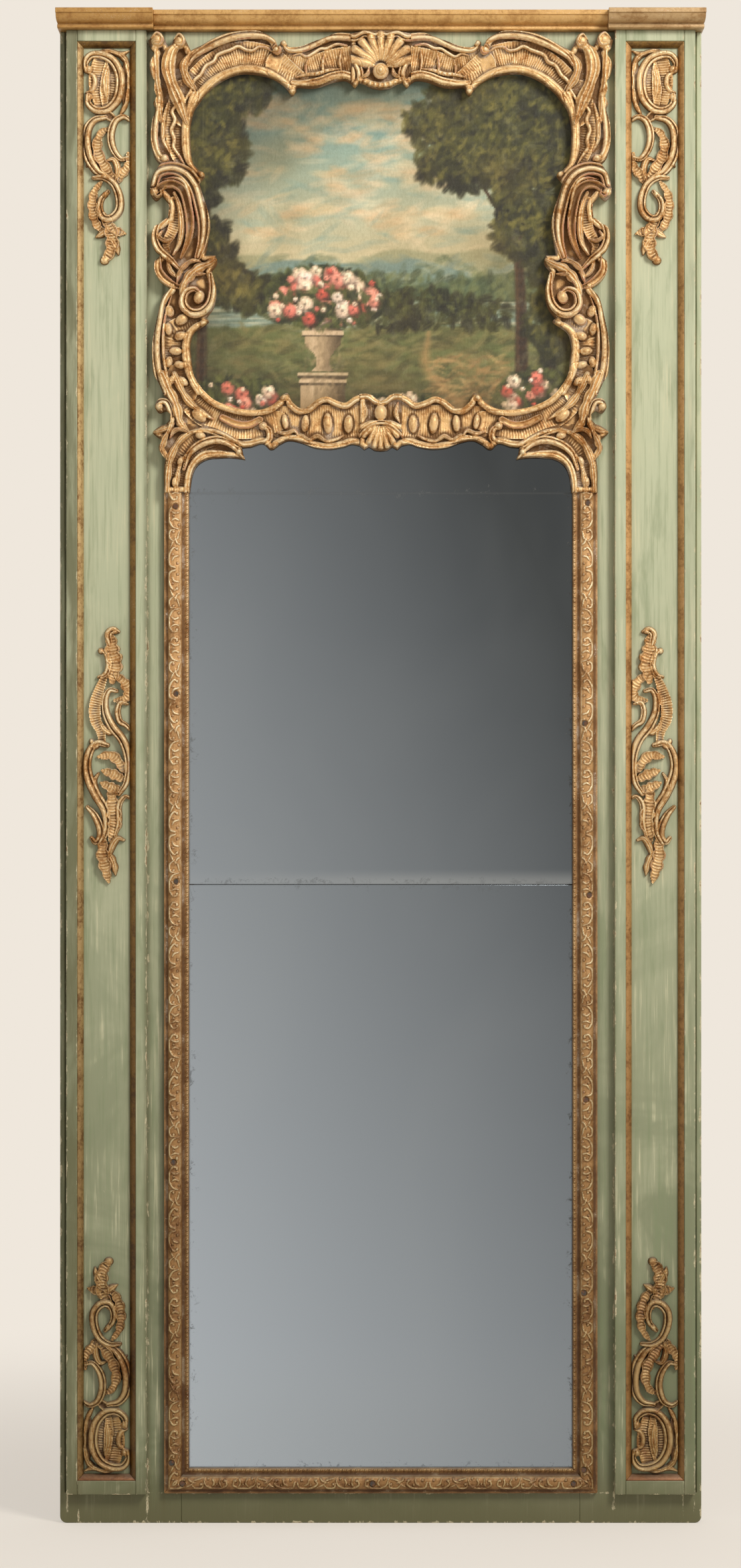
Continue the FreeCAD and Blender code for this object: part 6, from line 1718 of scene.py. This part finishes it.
def seen_rays(nodes):
    """Which rays see the plain background: the camera's, and those that metal and glass give back."""
    rays = nodes.add("ShaderNodeLightPath").outputs
    return nodes.most(nodes.most(rays["Is Camera Ray"], rays["Is Glossy Ray"]), rays["Is Transmission Ray"])


class TRUMEAU_OT_stage(bpy.types.Operator):
    """Sets up the floor, the light and the camera"""
    bl_idname = "trumeau.stage"
    bl_label = "Stage"

    def execute(self, context):
        scene = context.scene
        mesh = bpy.data.meshes.new("floor")
        mesh.from_pydata([(x * FLOOR_HALF, y * FLOOR_HALF, 0) for x, y in ((-1, -1), (1, -1), (1, 1), (-1, 1))], [],
                         [(0, 1, 2, 3)])
        floor = bpy.data.objects.new("floor", mesh)
        scene.collection.objects.link(floor)
        made, nodes, shader, place = started("Pale floor")
        shader.inputs["Base Color"].default_value = BACKGROUND
        shader.inputs["Roughness"].default_value = 0.9
        reach = nodes.add("ShaderNodeVectorMath", {0: place}, operation="LENGTH").outputs["Value"]
        glow = nodes.add("ShaderNodeEmission", {"Color": BACKGROUND, "Strength": 1.0}).outputs[0]
        blend = nodes.times(nodes.step(reach, 0.6, 2.4, 0.55, 1.0), seen_rays(nodes))
        joined = nodes.add("ShaderNodeMixShader", {0: blend, 1: shader.outputs[0], 2: glow}).outputs[0]
        nodes.set(made.node_tree.nodes["Material Output"].inputs["Surface"], joined)
        mesh.materials.append(made)

        world = bpy.data.worlds.new("Studio")
        world.use_nodes = True
        scene.world = world
        nodes = Nodes(world.node_tree)
        soft = world.node_tree.nodes["Background"]
        soft.inputs["Color"].default_value = (1.0, 0.985, 0.96, 1)
        soft.inputs["Strength"].default_value = 0.5
        plain = nodes.add("ShaderNodeBackground", {"Color": BACKGROUND, "Strength": 1.0}).outputs[0]
        joined = nodes.add("ShaderNodeMixShader", {0: seen_rays(nodes), 1: soft.outputs[0], 2: plain}).outputs[0]
        nodes.set(world.node_tree.nodes["World Output"].inputs["Surface"], joined)

        lamp = bpy.data.lights.new("Key", "AREA")
        lamp.shape = "RECTANGLE"
        lamp.size, lamp.size_y = KEY_SIZE
        lamp.energy = KEY_WATTS
        lamp.color = (1.0, 0.97, 0.92)
        key = bpy.data.objects.new("Key", lamp)
        key.location = KEY_PLACE
        key.rotation_euler = (Vector(KEY_TARGET) - key.location).to_track_quat("-Z", "Y").to_euler()
        scene.collection.objects.link(key)

        lens = bpy.data.cameras.new("Camera")
        lens.lens = CAMERA_LENS
        camera = bpy.data.objects.new("Camera", lens)
        camera.location = CAMERA_PLACE
        camera.rotation_euler = (math.pi / 2, 0, 0)
        scene.collection.objects.link(camera)
        scene.camera = camera
        scene.view_settings.view_transform = "Standard"
        return {"FINISHED"}


OPERATORS = (TRUMEAU_OT_joinery, TRUMEAU_OT_gilt_strips, TRUMEAU_OT_cornice, TRUMEAU_OT_cartouche,
             TRUMEAU_OT_ornaments, TRUMEAU_OT_glass_moulding, TRUMEAU_OT_plates, TRUMEAU_OT_canvas, TRUMEAU_OT_back,
             TRUMEAU_OT_stage)


class TRUMEAU_PT_panel(bpy.types.Panel):
    """Lists the trumeau's settings and its pieces in the order they are made"""
    bl_idname = "TRUMEAU_PT_panel"
    bl_label = "Trumeau"
    bl_space_type = "VIEW_3D"
    bl_region_type = "UI"
    bl_category = "Trumeau"

    def draw(self, context):
        """Shows the settings and a button for each operator."""
        for settings in (context.scene.trumeau_looks, context.scene.trumeau_sizes):
            for name in settings.__annotations__:
                self.layout.prop(settings, name)
        for operator in OPERATORS:
            self.layout.operator(operator.bl_idname)


CLASSES = (TRUMEAU_looks, TRUMEAU_sizes, *OPERATORS, TRUMEAU_PT_panel)


def register():
    """Makes the settings, the pieces' operators and the panel known."""
    for kind in CLASSES:
        bpy.utils.register_class(kind)
    bpy.types.Scene.trumeau_looks = bpy.props.PointerProperty(type=TRUMEAU_looks)
    bpy.types.Scene.trumeau_sizes = bpy.props.PointerProperty(type=TRUMEAU_sizes)


def unregister():
    """Takes the settings, the operators and the panel away."""
    del bpy.types.Scene.trumeau_sizes
    del bpy.types.Scene.trumeau_looks
    for kind in reversed(CLASSES):
        bpy.utils.unregister_class(kind)


def main():
    """Makes every piece in order."""
    register()
    for operator in OPERATORS:
        area, name = operator.bl_idname.split(".")
        getattr(getattr(bpy.ops, area), name)()


if __name__ == "__main__":
    main()
